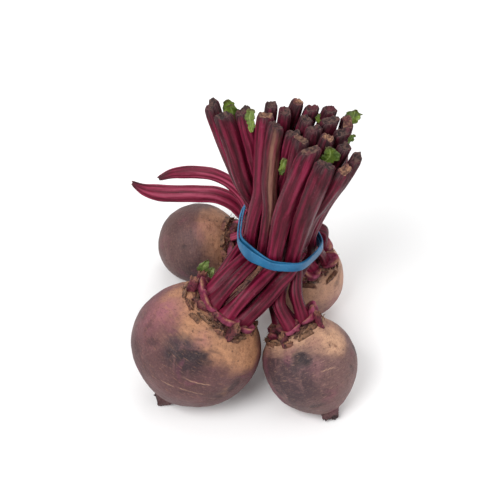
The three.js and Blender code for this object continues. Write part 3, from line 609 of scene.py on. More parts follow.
# Blemishes: direction from the root's middle, half length, half width, turn, weight
BLEMISHES = {
    "large": [
        ([-0.055, -0.784, 0.619], 0.3, 0.075, 0.03, 1.0),
        ([0.17, -0.837, 0.52], 0.16, 0.06, -0.3, 0.55),
        ([-0.62, -0.5, 0.6], 0.14, 0.07, 0.4, 0.35),
        ([0.387, -0.897, -0.212], 0.22, 0.06, 0.5, 0.3),
        ([0.6, -0.79, -0.1], 0.16, 0.07, 0.7, 0.6),
        ([0.1, -0.62, 0.78], 0.09, 0.03, -0.2, 0.5),
        ([0.3, -0.72, 0.62], 0.1, 0.03, -0.5, 0.4),
        ([-0.7, 0.5, 0.5], 0.2, 0.1, 0.3, 0.5),
        ([0.5, 0.8, -0.2], 0.25, 0.1, 0.2, 0.6),
    ],
    "right": [
        ([-0.2, -0.6, 0.78], 0.21, 0.17, -0.2, 1.0),
        ([0.955, 0.1, 0.26], 0.1, 0.16, 0.0, 0.9),
        ([0.141, -0.969, -0.202], 0.2, 0.07, 0.3, 0.6),
        ([-0.35, -0.72, 0.6], 0.07, 0.05, 0.3, 0.5),
        ([-0.3, -0.8, 0.52], 0.1, 0.045, 0.2, 0.6),
        ([0.86, -0.4, 0.32], 0.06, 0.12, 0.2, 0.5),
        ([0.3, -0.94, 0.1], 0.16, 0.04, -0.3, 0.4),
        ([0.6, 0.7, 0.3], 0.2, 0.12, 0.3, 0.5),
    ],
    "backLeft": [
        ([-0.346, -0.723, 0.598], 0.06, 0.05, 0.0, 0.6),
        ([-0.8, 0.2, 0.5], 0.2, 0.12, 0.3, 0.4),
        ([-0.1, 0.9, 0.3], 0.25, 0.1, 0.3, 0.6),
    ],
    "backRight": [
        ([0.75, -0.4, 0.3], 0.16, 0.08, 0.4, 0.4),
        ([0.5, 0.85, 0.1], 0.25, 0.1, 0.3, 0.5),
    ],
}

# Pale scratches: directions of both ends
PALE_LINES = {
    "large": [
        ([-0.194, -0.931, 0.309], [0.268, -0.957, 0.117]),
        ([-0.24, -0.963, 0.123], [0.145, -0.988, -0.058]),
        ([-0.517, -0.842, 0.155], [-0.27, -0.958, 0.097]),
    ],
    "right": [([0.162, -0.772, 0.615], [0.5, -0.62, 0.6])],
    "backLeft": [],
    "backRight": [],
}

# Wide soft zones: direction, reach, how dusky, how tan
ZONES = {
    "large": [
        ([-0.055, -0.784, 0.619], 0.28, 0.7, -0.3),
        ([-0.3, -0.72, 0.62], 0.3, 0.4, 0),
        ([-0.1, -0.7, 0.71], 0.2, 0.6, -0.3),
        ([0.1, -0.97, 0.15], 0.6, 0.3, 0),
        ([-0.9, -0.3, 0.1], 0.6, 0.4, 0),
        ([0.72, -0.5, 0.46], 0.3, 0, 0.95),
        ([0.86, -0.46, 0.2], 0.22, 0, 0.95),
        ([0.42, -0.88, -0.2], 0.2, 0.3, 1.0),
        ([-0.35, 0.05, 0.94], 0.25, 0, 0.6),
        ([0.0, -0.45, 0.89], 0.22, 0, 0.6),
    ],
    "right": [
        ([-0.2, -0.8, 0.5], 0.6, 0.6, -0.1),
        ([-0.5, -0.8, -0.2], 0.8, 0.55, 0),
        ([-0.75, -0.5, 0.4], 0.4, 0.6, -0.6),
        ([0.55, -0.2, 0.8], 0.42, -0.3, 1.2),
    ],
    "backLeft": [
        ([0.1, -0.9, -0.2], 0.7, 0.8, 0),
        ([-0.5, -0.3, 0.8], 0.4, 0.3, 0),
        ([0.35, -0.2, 0.9], 0.5, 0, 1.3),
    ],
    "backRight": [([0.2, -0.8, -0.4], 0.6, 0.7, 0)],
}

# Rose flush where the roots face the key light, partly the skin's own pink and partly a painted highlight:
# direction, reach, weight
PINKS_AND_HIGHLIGHTS = {
    "large": [
        ([-0.44, -0.08, 0.89], 0.26, 1.0),
        ([-0.72, -0.13, 0.68], 0.3, 0.5),
        ([0.12, -0.6, 0.78], 0.14, 0.6),
    ],
    "right": [([0.05, -0.7, 0.7], 0.2, 0.25)],
    "backLeft": [([0.1, -0.4, 0.9], 0.3, 0.4)],
    "backRight": [],
}

# Slight swellings of the roots: direction, reach, height in millimetres
BULGES = {
    "large": ([0.97, -0.1, -0.1], 0.45, 1.0),
    "right": ([-0.97, 0.1, 0.1], 0.45, 0.8),
}


def root_body(beet):
    """Points, outward directions, polar shares and turns of a root without its tail."""
    axis, first, second = crown_frame(beet)
    middle = np.array(beet["middle"])
    rings, sides = beet["mesh"]
    outline = np.array([[0, CROWN_HEIGHT]] + ROOT_OUTLINE + [[0, -1.015]])
    profile = np.stack([np.arctan2(outline[:, 0], outline[:, 1]), np.hypot(outline[:, 0], outline[:, 1])], 1)
    profile = Line(profile).at(np.linspace(0, 1, 1200))
    polar = np.linspace(0.012, math.pi - 0.012, rings)
    size = np.interp(polar, profile[:, 0], profile[:, 1])
    turn = -circle(sides)
    distance = (size * np.sin(polar))[:, None] * np.ones(sides)
    height = (size * np.cos(polar))[:, None] * np.ones(sides)
    fade = clamp((distance - 0.56) / 0.4)
    lobe = 0.014 * np.sin(-2 * turn + beet["seed"]) + 0.01 * np.sin(-5 * turn + 2 * beet["seed"])
    distance = distance * (1 + fade * lobe)
    around = first * np.cos(turn)[:, None] + second * np.sin(turn)[:, None]
    reach = distance[:, :, None] * around + beet["flatness"] * height[:, :, None] * axis
    points = (middle + beet["radius"] * reach).reshape(-1, 3)
    return points, unit(points - middle), np.repeat(polar / math.pi, sides), np.tile(turn, rings)


def blemish_marks(key, out, medium, coarse):
    mark = np.zeros(len(out))
    for direction, long_, wide_, tilt, weight in BLEMISHES[key]:
        centre = unit(direction)
        side = unit(np.cross([0, 0, 1], centre))
        up = np.cross(centre, side)
        across, along = (out * side).sum(1), (out * up).sum(1)
        x = across * math.cos(tilt) + along * math.sin(tilt)
        y = along * math.cos(tilt) - across * math.sin(tilt)
        gone = np.hypot(x / long_, y / wide_) + 0.45 * medium + 0.25 * coarse
        here = clamp(1.25 - gone) * ((out * centre).sum(1) > 0)
        mark = np.maximum(mark, weight * np.minimum(1, 1.6 * here))
    return mark


def pale_marks(key, out, radius, coarse):
    pale = np.zeros(len(out))
    for a, b in PALE_LINES[key]:
        a, b = unit(a), unit(b)
        gap = np.abs((out * unit(np.cross(a, b))).sum(1) + 0.012 * coarse) * radius
        centre = unit(a + b)
        within = clamp(((out * centre).sum(1) - (a * centre).sum()) * 90)
        pale = np.maximum(pale, within * clamp(1.25 - gap / 0.36))
    return pale


def zone_marks(key, out):
    dusk = np.zeros(len(out))
    tan = np.zeros(len(out))
    for direction, reach, dusky, tanned in ZONES[key]:
        near = falloff(out, direction, reach**2)
        dusk += dusky * near
        tan += tanned * near
    # Rose flush, partly the skin's own pink and partly a painted highlight
    pink_and_highlight = np.zeros(len(out))
    for direction, reach, weight in PINKS_AND_HIGHLIGHTS[key]:
        pink_and_highlight += weight * falloff(out, direction, reach**2)
    return rows_of(clamp(dusk), np.clip(tan, -1, 2), clamp(pink_and_highlight), 1)


def tail_body(beet, line, line_radii):
    """A wrinkled tail root, wide where it leaves the body, with a torn end."""
    curve = Line(line)
    stations, sides = TAIL_STATIONS, TAIL_SIDES
    t = np.linspace(0, 1, stations)
    along = curve.heading(t)
    first, second = frame_for(along, [0, 0, 1.0])
    radii = np.interp(t, np.linspace(0, 1, 4), line_radii) + TAIL_WIDENING * clamp(1 - t / 0.6)
    theta = circle(sides)
    wrinkle = 0.94 + 0.08 * np.sin(3 * theta + 6 * t[:, None] + beet["seed"])
    wrinkle = wrinkle + 0.05 * np.sin(9 * theta + 14 * t[:, None])
    wrinkle = wrinkle + 0.03 * np.sin(70 * t[:, None] + 2 * np.sin(theta))
    cleft = clamp((t - 0.66) / 0.3)[:, None] * np.abs(np.cos(theta + 0.6)) ** 6
    ring = radii[:, None] * (wrinkle - 0.5 * cleft)
    points = curve.at(t)[:, None] + ring[:, :, None] * spokes_of(theta, first, second)
    torn = clamp((t - 0.85) / 0.15)[:, None]
    back = torn * (0.6 + 2.2 * np.abs(np.cos(theta + 0.6)) ** 4 + 0.5 * np.sin(5 * theta))
    points = points - back[:, :, None] * along[:, None]
    ends = np.array([curve.at(0)[0], points[-1].mean(0) - along[-1] * 0.8])
    return join(points.reshape(-1, 3), ends), join(np.repeat(t, sides), [0, 1])


def root_piece(key, beet, material):
    axis = unit(beet["crown"])
    middle = np.array(beet["middle"])
    radius = beet["radius"]
    flat, out, v, turn = root_body(beet)
    seed = Vector((beet["seed"], 0, 0))
    coarse = np.array([noise.fractal(Vector(p) * 0.05 + seed, 0.6, 2.1, 3) for p in flat])
    medium = np.array([noise.fractal(Vector(p) * 0.22 + seed, 0.6, 2.1, 3) for p in flat])
    tail_way = unit(np.array(beet["tail"][1]) - middle)
    flare = TAIL_FLARE * np.exp(-(((out - tail_way) ** 2).sum(1)) / 0.2)
    crust = clamp((v - 0.09) / 0.03) * clamp((0.215 - v) / 0.03)
    tail = clamp((v - 0.86) / 0.1)
    cork = clamp((0.36 - v) / 0.12)
    belts = np.sin(v * 150 + 3 * coarse + 2 * medium)
    move = 0.3 * coarse - 0.4 + 0.2 * medium * (0.4 + cork + 3 * crust)
    move = move + 0.06 * belts * (0.2 + cork + tail)
    move = move + flare
    if key in BULGES:
        direction, reach, rise = BULGES[key]
        move = move + rise * falloff(out, direction, reach**2)
    mark = blemish_marks(key, out, medium, coarse)
    pale = pale_marks(key, out, radius, coarse)
    move = move - 0.3 * mark + 0.15 * pale
    flat = flat + out * move[:, None]
    zones = zone_marks(key, out)
    marks = rows_of(v, mark, pale, 1)
    belt = rows_of(2.2 * np.cos(turn), 2.2 * np.sin(turn), 42 * v)
    pole = axis * radius * beet["flatness"]
    ends = np.array([middle + pole * (CROWN_HEIGHT - 0.01), middle - pole])
    points = join(flat, ends)
    faces = tube_faces(*beet["mesh"])
    t = []
    for part in ("tail", "prong"):
        if part in beet:
            part_points, part_t = tail_body(beet, beet[part], beet[part + "_radii"])
            faces += tube_faces(TAIL_STATIONS, TAIL_SIDES, len(points))
            points = join(points, part_points)
            t = join(t, part_t)
    tail_marks = rows_of(0.9, 0.1 + 0.85 * t**3, 0, 1)
    marks = join(marks, [[0, 0, 0, 1], [1, 0, 0, 1]], tail_marks)
    zones = join(zones, np.tile([0.2, 0, 0, 1], (len(t) + 2, 1)))
    tail_belt = rows_of(np.cos(9 * t), np.sin(9 * t), 30 * t)
    belt = join(belt, [[0, 0, 0], [0, 0, 42]], tail_belt)
    colours = {"marks": marks, "zones": zones}
    piece = make_piece("skin_" + beet["node"], points, faces, material, colours, {"belt": belt})
    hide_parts(beet["node"])
    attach(piece, "root")


# Old leaf bases, sheaths, broken stubs and dry fibres on the crowns
class Heap:
    """Collects small closed bodies into one piece."""

    def __init__(self):
        self.points = []
        self.faces = []
        self.tones = []
        self.count = 0

    def tube(self, rings, tones):
        rings = np.asarray(rings, float)
        stations, sides = rings.shape[:2]
        body = capped(rings)
        tones = np.asarray(tones, float)
        tones = tones if tones.ndim == 3 else np.repeat(tones[:, None], sides, axis=1)
        tone = join(tones.reshape(-1, 4), [tones[0, 0]], [tones[-1, 0]])
        self.faces += tube_faces(stations, sides, self.count)
        self.points.append(body)
        self.tones.append(tone)
        self.count += len(body)

    def make(self, name, material):
        piece = make_piece(name, join(*self.points), self.faces, material, {"tone": join(*self.tones)})
        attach(piece, "root")


# Rise, width and depth of an old leaf base at each level
SCALE_LEVELS = [
    [-0.8, 1.5, 1.7], [0, 1.4, 1.2], [0.2, 1.25, 0.8],
    [0.42, 1.05, 0.55], [0.6, 0.85, 0.36], [0.72, 0.5, 0.22],
]


def scale_body(heap, beet, turn, distance, half_width, rise, lean, skew, wine, pale, thick=1.0):
    axis, outward, across, foot = crown_place(beet, turn, distance)
    rings, tones = [], []
    theta = circle(12)
    for level, (up, wide, deep) in enumerate(SCALE_LEVELS):
        height = up * rise
        out = max(0, height) * lean * (1 + 0.5 * max(0, up))
        centre = foot + axis * height + outward * out + across * skew * max(0, height) * 0.6
        ragged = 1 + 0.22 * np.sin(3 * theta + 5 * skew + level) + 0.1 * np.sin(7 * theta + 9 * skew)
        ring = centre + (
            (deep * thick * np.cos(theta) + 0.35 * (wide * np.sin(theta)) ** 2)[:, None] * outward
            + (wide * half_width * np.sin(theta) * ragged)[:, None] * across
        )
        tooth = 0.5 * np.sin(5 * theta + 3 * level + 7 * skew) * (level > 2) * min(1, rise / 2)
        ring = ring + axis * tooth[:, None]
        rings.append(ring)
        tones.append([wine * (1 - 0.4 * max(0, up)), pale * (0.45 + 0.55 * max(0, up)), 0, 1])
    heap.tube(rings, tones)


def stub_body(heap, beet, stub, wine):
    along, across, length, half_width, roll = stub
    axis = unit(beet["crown"])
    foot = on_crown(beet, along, across, -3)
    outward = unit(foot - on_crown(beet, 0, 0, -3))
    wanted = np.array([math.cos(roll), math.sin(roll), 0.3])
    rings, tones = [], []
    theta = circle(24)
    for t in np.linspace(0, 1, 14):
        centre = foot + axis * t * (length + 3) + outward * t * t * length * 0.35
        first, second = frame_for(unit(axis + outward * 0.5 * t), wanted)
        width = half_width * (1 - 0.22 * t)
        x, y = section(theta, width, width * 0.62)
        shrink = 1 - 0.06 * np.sin(7 * theta + 9 * t) - 0.05
        ring = centre + (x * shrink)[:, None] * first + (y * shrink)[:, None] * second
        if t > 0.85:
            ring = ring + axis * (0.8 * np.sin(5 * theta) - 0.6)[:, None] * (t - 0.85) / 0.15
        rings.append(ring)
        tones.append([wine, 0.6 * max(0, (t - 0.75) / 0.25), 0, 1])
    rings.append(rings[-1].mean(0) + (rings[-1] - rings[-1].mean(0)) * 0.7 - axis * 1.0)
    tones.append([wine * 0.6, 0.5, 0, 1])
    heap.tube(rings, tones)


def lump_body(heap, beet, turn, distance, size, mood, wine):
    axis, outward, across, foot = crown_place(beet, turn, distance)
    theta = circle(18)
    rings, tones = [], []
    for up in np.linspace(-0.4, 1, 10):
        round_ = math.sqrt(max(0.02, 1 - max(0, up) ** 2))
        wave = 1 + 0.16 * np.sin(3 * theta + 9 * mood + up) + 0.07 * np.sin(7 * theta + 4 * mood)
        centre = foot + axis * up * size * 0.8 + outward * up * size * 0.25
        wide = (size * round_ * wave * np.sin(theta))[:, None] * across
        deep = (0.6 * size * round_ * wave * np.cos(theta))[:, None] * outward
        rings.append(centre + wide + deep)
        tones.append([0.5 + 0.5 * wine, 0.45 * max(0, up) ** 3, 0, 1])
    heap.tube(rings, tones)


# The fleshy sheath of a leaf base, wrapped round the outer side of a stem's foot
def sheath_body(heap, beet, foot, seed, size):
    axis, first, second = crown_frame(beet)
    heading = math.atan2(foot[1], foot[0])
    theta = circle(16)
    rings, tones = [], []
    for s in np.linspace(0, 1, 30):
        turn = heading + (s - 0.5) * 3.3
        full = math.sin(math.pi * (0.03 + 0.94 * s)) ** 0.6
        reach = 5.0 + 0.5 * math.sin(9 * s + seed)
        centre = on_crown(beet, foot[0] + reach * math.cos(turn), foot[1] + reach * math.sin(turn), -0.8)
        radial = first * math.cos(turn) + second * math.sin(turn)
        rise = size * full * (4.2 + 1.3 * math.sin(5 * s + 2 * seed))
        up = 0.5 + 0.5 * np.sin(theta)
        swell = 0.7 + 0.5 * np.sin(np.pi * clamp(1.3 * up))
        thick = 1.9 * size * full * swell * (1 + 0.1 * np.sin(3 * theta + 6 * s))
        lean = 0.5 * rise * up**2
        rings.append(centre + (rise * up)[:, None] * axis + (thick * np.cos(theta) + lean)[:, None] * radial)
        rim = clamp((up - 0.82) / 0.18) * (0.5 + 0.5 * math.sin(13 * s + seed))
        tones.append(rows_of(0.6 + 0.4 * up, rim, 0.55 * up * full, 1))
    heap.tube(rings, tones)


def hair(heap, points, radius, wine, pale):
    curve = Line(points)
    t = np.linspace(0, 1, 8)
    along = curve.heading(t)
    f1, f2 = frame_for(along, [0.3, 0.2, 1.0])
    theta = circle(5)
    thin = (radius * (1 - 0.6 * t))[:, None, None]
    rings = curve.at(t)[:, None] + thin * spokes_of(theta, f1, f2)
    heap.tube(rings, np.tile([wine, pale, 0, 1], (8, 1)))


def crown_piece(beet, material):
    heap = Heap()
    draw = seeded(beet["seed"])
    for i in range(beet["scars"]):
        turn = 2 * math.pi * (i + 0.7 * draw()) / beet["scars"]
        distance = beet["radius"] * (beet["scar_ring"] + 0.09 * draw())
        half_width = 2 + 1.6 * draw()
        rise = 0.8 * (1.6 + 2.6 * draw())
        lean = 0.35 + 0.5 * draw()
        skew = draw() - 0.5
        wine = 0.25 + 0.25 * math.sin(5 * turn + beet["seed"])
        scale_body(heap, beet, turn, distance, half_width, rise, lean, skew, wine, 0.8)
    for n, foot in enumerate(beet["feet"]):
        sheath_body(heap, beet, foot, n + beet["seed"], 1.55 if n in (1, 2, 3) else 1.1)
    for n, stub in enumerate(beet["stubs"]):
        stub_body(heap, beet, stub, 0.8 if n % 2 == 0 else 0.5)
    extra = seeded(beet["seed"] + 500)
    for _ in range(CRUMBS):
        turn = 2 * math.pi * extra()
        distance = beet["radius"] * (beet["scar_ring"] - 0.14 + 0.17 * extra())
        half_width = 0.3 + 0.9 * extra()
        rise = 0.2 + 0.6 * extra()
        lean = 0.3 + 1.2 * extra()
        skew = extra() - 0.5
        wine = 0.8 if extra() > 0.75 else 0.1
        scale_body(heap, beet, turn, distance, half_width, rise, lean, skew, wine, 0.7 * extra(), 0.5)
    for _ in range(LUMPS):
        turn = 2 * math.pi * extra()
        distance = beet["radius"] * (0.1 + 0.4 * extra())
        lump_body(heap, beet, turn, distance, 2.2 + 2.2 * extra(), extra(), extra())
    for _ in range(FIBRES):
        turn = 2 * math.pi * extra()
        distance = beet["radius"] * (beet["scar_ring"] - 0.02 + 0.14 * extra())
        axis, outward, across, foot = crown_place(beet, turn, distance, -0.2)
        reach = 1.5 + 3 * extra()
        bend = (extra() - 0.5) * 2.4
        tip = foot + axis * reach * (0.3 + 0.5 * extra()) + outward * reach * 0.6 + across * bend
        hair(heap, [foot, (foot + tip) / 2 + axis * 0.5, tip], 0.13 + 0.08 * extra(), 0.1, 0.9 * extra())
    heap.make("crown_" + beet["node"], material)


# A stem: its solid's rings made fine, with ridges and furrows, a spread foot and a dried, torn end
def stem_piece(node, index, material, cut):
    grid = rings_of(node)
    waist = grid[len(grid) // 2]
    channel = int(np.argmin(np.linalg.norm(waist - waist.mean(0), axis=1)))
    grid = np.roll(grid, 3 - channel, axis=1)
    coarse_sides = grid.shape[1]
    rings, sides = STEM_RINGS, STEM_SIDES
    t = np.linspace(0, 1, rings)
    theta = circle(sides)
    fine = spline(grid, t * (len(grid) - 1), False)
    fine = spline(fine.swapaxes(0, 1), np.arange(sides) * coarse_sides / sides, True).swapaxes(0, 1)
    centre = fine.mean(1)
    spokes = fine - centre[:, None]
    lengths = join([0], np.cumsum(np.linalg.norm(np.diff(centre, axis=0), axis=1)))
    along = unit(np.gradient(centre, axis=0))
    tip = lengths[-1] - lengths
    seed = 3.7 * index
    arc = lengths[:, None]
    ridges = 7 + index % 3
    rib = 0.5 + 0.5 * np.cos(ridges * theta + seed + 0.5 * np.sin(2 * theta + seed + 0.02 * arc))
    rib = rib * (0.75 + 0.25 * np.sin(0.06 * arc + 2 * theta + seed))
    dry = clamp((14 - tip) / 14)[:, None]
    fold = 0.5 + 0.5 * np.sin(4 * theta + seed + 0.25 * arc)
    wave = np.array([
        [noise.noise(Vector((1.4 * math.cos(a) + seed, 1.4 * math.sin(a), 0.11 * d))) for a in theta]
        for d in lengths
    ])
    growth = FRONT_GROWTH if index < FRONT_STEMS else STEM_GROWTH
    grown = growth * clamp((75 - tip) / 20)[:, None]
    size = 0.99 + grown - 0.085 * (1 - rib) + 0.05 * wave - dry**2 * (0.05 + 0.12 * fold)
    size = size - 0.16 * clamp((2.2 - tip) / 2.2)[:, None] ** 2
    foot = clamp(1 - arc / 9)
    size = size + 0.3 * foot**2 * (0.6 + 0.4 * np.sin(2 * theta + seed))
    points = centre[:, None] + spokes * size[:, :, None]
    ragged = 0.4 * np.sin(3 * theta + seed) + 0.25 * np.sin(8 * theta + 2 * seed)
    ragged = ragged + 0.12 * np.sin(15 * theta) - 0.5
    torn = clamp((3 - tip) / 3) ** 2
    points = points + (torn[:, None] * ragged)[:, :, None] * along[:, None]
    points = points - (1.8 * foot**2)[:, :, None] * along[0]
    lip = points[-1]
    core = lip.mean(0)
    hollow = [(0.86, 0.1), (0.7, 0.9), (0.4, 1.5)]
    inner = [core + (lip - core) * scale - along[-1] * drop for scale, drop in hollow]
    ends = [points[0].mean(0), core - along[-1] * 1.6]
    points = join(points.reshape(-1, 3), *inner, ends)
    faces = tube_faces(rings + len(hollow), sides)
    end_arc = np.repeat(lengths[-1], len(hollow) * sides)
    arc = join(np.repeat(lengths, sides), end_arc, [0, lengths[-1]])
    turn = join(np.tile(theta, rings + len(hollow)), [0, 0])
    inside = np.full(len(hollow) * sides + 2, 0.5)
    facing = (unit(spokes) * unit([0.25, -0.7, 0.65])).sum(2).ravel()
    facing = join(clamp((facing - 0.45) / 0.3), 0 * inside)
    stripe = (node == STRIPED_STEM) * facing * clamp((arc - STRIPE_START) / 16)
    fade = rows_of(clamp((lengths[-1] - arc) / 40), clamp(arc / 40), stripe, 1)
    ribs = join(rib.ravel(), inside)
    folds = join(np.broadcast_to(fold, rib.shape).ravel(), inside)
    # The first channel, the ridge share, places the painted highlight on the ridges and the painted shade in
    # the furrows
    form = rows_of(ribs, (index * 0.618) % 1, folds, 1)
    lane = rows_of(3.2 * np.cos(turn) + 9 * index, 3.2 * np.sin(turn), 0.05 * arc)
    colours = {"fade": fade, "form": form}
    piece = make_piece("skin_" + node, points, faces, material, colours, {"lane": lane})
    piece.data.materials.append(cut)
    skin_end = rings * sides
    for face in piece.data.polygons:
        corners = list(face.vertices)
        face.material_index = int(max(corners) >= skin_end and min(corners) >= skin_end - sides)
    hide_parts(node)
    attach(piece, "root")


# Dry frayed strands in the groove between the two front stems, below the band and above it
def strand_piece(material):
    one, other = rings_of("stem_05").mean(1), rings_of("stem_07").mean(1)
    groove = Line((one + other) / 2)
    front = unit([0.1, -0.7, 0.7])
    heap = Heap()
    draw = seeded(71)
    for low, high, count in ((0.02, 0.33, 16), (0.42, 0.62, 9)):
        for _ in range(count):
            start = low + (high - low) * 0.5 * draw()
            stop = start + (high - start) * (0.5 + 0.5 * draw())
            t = np.linspace(start, stop, 22)
            side = (draw() - 0.5) * 4.4
            wander = side + 0.7 * np.sin(9 * draw() + 40 * t)
            lift = 2.6 + 0.9 * draw() + 0.3 * np.sin(60 * t)
            path = groove.at(t) + wander[:, None] * np.array([1.0, 0, 0]) + lift[:, None] * front
            along = unit(np.gradient(path, axis=0))
            f1, f2 = frame_for(along, [1.0, 0.2, 0.1])
            theta = circle(8)
            radius = (0.25 + 0.5 * draw()) * np.sin(np.linspace(0.25, 2.9, 22)) * (1 + 0.3 * np.sin(90 * t))
            wide = (radius[:, None] * np.cos(theta))[:, :, None] * f1[:, None]
            thin = (0.5 * radius[:, None] * np.sin(theta))[:, :, None] * f2[:, None]
            tone = [0.35 * draw(), 0.5 * draw() ** 2, 0, 1]
            heap.tube(path[:, None] + wide + thin, np.tile(tone, (22, 1)))
    heap.make("dry_strands", material)


# The stem that each torn scrap of blade hangs on
HOSTS = dict(zip(LEAVES, [f"stem_{number:02d}" for number in (1, 2, 4, 6, 7, 13, 11, 12)]))


def scrap_stalk(node, centre, offset):
    """A short flat stalk from inside the host stem to the middle of a torn scrap."""
    stations, sides = 12, 12
    axis = Line(rings_of(HOSTS[node]).mean(1)).at(np.linspace(0.6, 0.95, 60))
    goal = centre[len(centre) // 4]
    root = axis[np.argmin(np.linalg.norm(axis - goal, axis=1))]
    t = np.linspace(0, 1, stations)
    path = root + (goal - root) * t[:, None]
    way = np.broadcast_to(unit(goal - root), path.shape)
    high, wide = frame_for(way, [0, 0, 1.0])
    theta = circle(sides)
    radius = (1.7 - 1.1 * t)[:, None, None]
    rings = path[:, None] + radius * spokes_of(theta, high, wide, 1.4, 0.4)
    points = join(rings.reshape(-1, 3), [path[0]], [path[-1]])
    green = join(np.repeat(t, sides), [0, 1])
    return points, tube_faces(stations, sides, offset), rows_of(0.3, 0.2, green, 1)


# A blade: fine plate between the three lines of its solid, with a midrib, a torn edge and ruffles
def leaf_piece(node, index, material):
    grid = rings_of(node)
    middle = grid[len(grid) // 2]
    near = int(np.argmin(np.linalg.norm(middle - middle.mean(0), axis=1)))
    grid = np.roll(grid, 2 - near, axis=1)
    stations, steps = BLADE_STATIONS, BLADE_STEPS
    t = np.linspace(0, 1, stations)
    corners = ((0, 1), (2, 5), (3, 4))
    right, centre, left = (Line((grid[:, i] + grid[:, j]) / 2).at(t) for i, j in corners)
    along = unit(np.gradient(centre, axis=0))
    normal = unit(np.cross(right - left, along))
    u = np.linspace(-1, 1, steps)
    bite = 1.22 - 0.32 * (0.5 + 0.5 * np.sin(13 * t + 2 * index)) ** 3
    bite = bite - 0.14 * (0.5 + 0.5 * np.sin(37 * t + index)) ** 2
    side = np.where((u < 0)[None, :, None], left[:, None], right[:, None])
    share = (np.abs(u) * bite[:, None])[:, :, None]
    sheet = centre[:, None] * (1 - share) + side * share
    width = np.linalg.norm(right - left, axis=1)[:, None]
    ruffle = 0.07 * width * np.sin(7 * t[:, None] * (2 + 0.3 * np.sign(u)) + index) * np.abs(u) ** 2
    ruffle = ruffle + 0.1 * np.sin(5 * u + 9 * t[:, None])
    vein = 0.12 * np.exp(-((u / 0.08) ** 2))
    ribs = 0.05 * np.cos(14 * t[:, None] * math.pi - 7 * np.abs(u))
    depth = 0.38 * (0.8 - 0.55 * np.abs(u) ** 3) * (1 - 0.5 * t[:, None] ** 4)
    top = sheet + (ruffle + depth + ribs)[:, :, None] * normal[:, None]
    under = sheet + (ruffle - depth - vein + ribs)[:, :, None] * normal[:, None]
    rings = np.concatenate([top, under[:, ::-1]], axis=1)
    points = capped(rings)
    faces = tube_faces(stations, 2 * steps)
    across = np.tile(np.abs(join(u, u[::-1])), stations)
    length = np.repeat(t, 2 * steps)
    stalk = length if "sprout" in node else np.ones(len(length))
    blade = rows_of(across, np.maximum(across * 0.97, length), stalk, 1)
    blade = join(blade, [[0, 0, stalk[0], 1], [0, 1, 1, 1]])
    if node in HOSTS:
        stalk_points, stalk_faces, stalk_tone = scrap_stalk(node, centre, len(points))
        points = join(points, stalk_points)
        faces += stalk_faces
        blade = join(blade, stalk_tone)
    piece = make_piece("blade_" + node, points, faces, material, {"blade": blade})
    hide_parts(node)
    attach(piece, "root")


def band_piece(material):
    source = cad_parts["rubber_band"]
    mesh = source.data.copy()
    mesh.name = "smooth_rubber_band"
    piece = bpy.data.objects.new("smooth_rubber_band", mesh)
    bpy.context.collection.objects.link(piece)
    bm = bmesh.new()
    bm.from_mesh(mesh)
    bmesh.ops.remove_doubles(bm, verts=bm.verts, dist=1e-6)
    bmesh.ops.join_triangles(bm, faces=bm.faces, angle_face_threshold=0.6, angle_shape_threshold=0.9)
    bm.to_mesh(mesh)
    bm.free()
    mesh.materials.clear()
    mesh.materials.append(material)
    mesh.shade_smooth()
    smooth = piece.modifiers.new("smooth", "SUBSURF")
    smooth.levels = smooth.render_levels = 2
    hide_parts("rubber_band")
    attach(piece, "root")


# Stage, light and camera
def aimed(name, data, place, direction):
    holder = bpy.data.objects.new(name, data)
    holder.location = place
    holder.rotation_mode = "QUATERNION"
    holder.rotation_quaternion = direction.to_track_quat("-Z", "Y")
    bpy.context.collection.objects.link(holder)
    return holder


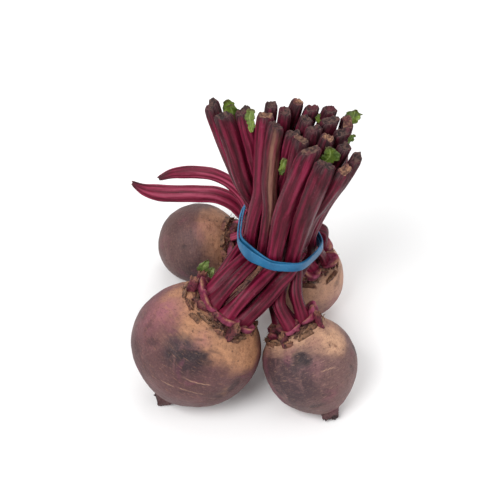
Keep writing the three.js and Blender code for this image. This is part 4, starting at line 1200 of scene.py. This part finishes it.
def stage():
    bpy.ops.mesh.primitive_plane_add(size=8, location=(0, 0, -0.0002))
    floor = bpy.context.object
    floor.name = "floor"
    s = Shader("pale floor")
    s.bsdf.inputs["Base Color"].default_value = (0.9, 0.9, 0.9, 1)
    s.bsdf.inputs["Roughness"].default_value = 0.9
    floor.data.materials.append(s.material)

    world = bpy.data.worlds.new("studio")
    bpy.context.scene.world = world
    world.use_nodes = True
    colour, strength = world.node_tree.nodes["Background"].inputs[:2]
    colour.default_value = (1, 1, 1, 1)
    strength.default_value = 0.56

    for name, place, size, power in (
        ("key", (-0.55, -0.75, 1.15), 0.7, 15.5),
        ("fill", (0.9, -0.5, 0.8), 0.9, 5),
        ("back", (0.1, 1.0, 1.0), 0.8, 6),
    ):
        lamp = bpy.data.lights.new(name, "AREA")
        lamp.size = size
        lamp.energy = power
        aimed(name, lamp, place, Vector((0, 0, 0.08)) - Vector(place))

    camera = bpy.data.cameras.new("camera")
    camera.sensor_width = SENSOR_WIDTH
    camera.lens = SENSOR_WIDTH / 2 / math.tan(VIEW_ANGLE / 2)
    target = Vector(to_metres(VIEW_TARGET)[0])
    back = Vector((0, -math.cos(VIEW_ELEVATION), math.sin(VIEW_ELEVATION)))
    bpy.context.scene.camera = aimed("camera", camera, target + back * VIEW_DISTANCE, -back)
    bpy.context.scene.view_settings.view_transform = "Standard"


# Each root's cork, its dusky flesh, its darkest parts, and how far the cork reaches
SKINS = {
    "large": ("skin large", rgb(178, 128, 95), rgb(89, 57, 58), rgb(50, 33, 38), 0.295),
    "right": ("skin right", rgb(200, 156, 126), rgb(104, 75, 73), rgb(62, 44, 49), 0.28),
    "backLeft": ("skin back left", rgb(166, 120, 92), rgb(92, 65, 63), rgb(58, 40, 44), 0.31),
    "backRight": ("skin back right", rgb(184, 140, 114), rgb(162, 122, 108), rgb(104, 78, 74), 0.36),
}
crumbs = crumb_material()
for key, beet in BEETS.items():
    root_piece(key, beet, skin_material(*SKINS[key]))
    crown_piece(beet, crumbs)

stem_skins = [
    stem_material("stem crimson", rgb(50, 4, 17), rgb(92, 12, 37), rgb(138, 36, 68)),
    # Painted shade: a darker copy of the crimson colours above
    stem_material("stem crimson shaded", rgb(40, 3, 13), rgb(78, 10, 30), rgb(118, 30, 56)),
    stem_material("stem rose", rgb(60, 6, 22), rgb(106, 18, 46), rgb(156, 54, 84)),
    stem_material("stem loose", rgb(66, 8, 26), rgb(122, 30, 56), rgb(172, 74, 100)),
]
cut = cut_material()
for index, node in enumerate(STEMS + LOOSE_STEMS):
    skin = stem_skins[3 if node in LOOSE_STEMS else 1 if node in SHADED_STEMS else index % 3]
    stem_piece(node, index, skin, cut)
strand_piece(crumbs)
green = leaf_material("green blade", rgb(60, 80, 22), rgb(116, 136, 50))
young = leaf_material("young blade", rgb(92, 116, 56), rgb(148, 164, 100))
for index, node in enumerate(LEAVES):
    leaf_piece(node, index, young if "sprout" in node else green)
band_piece(band_material())
stage()
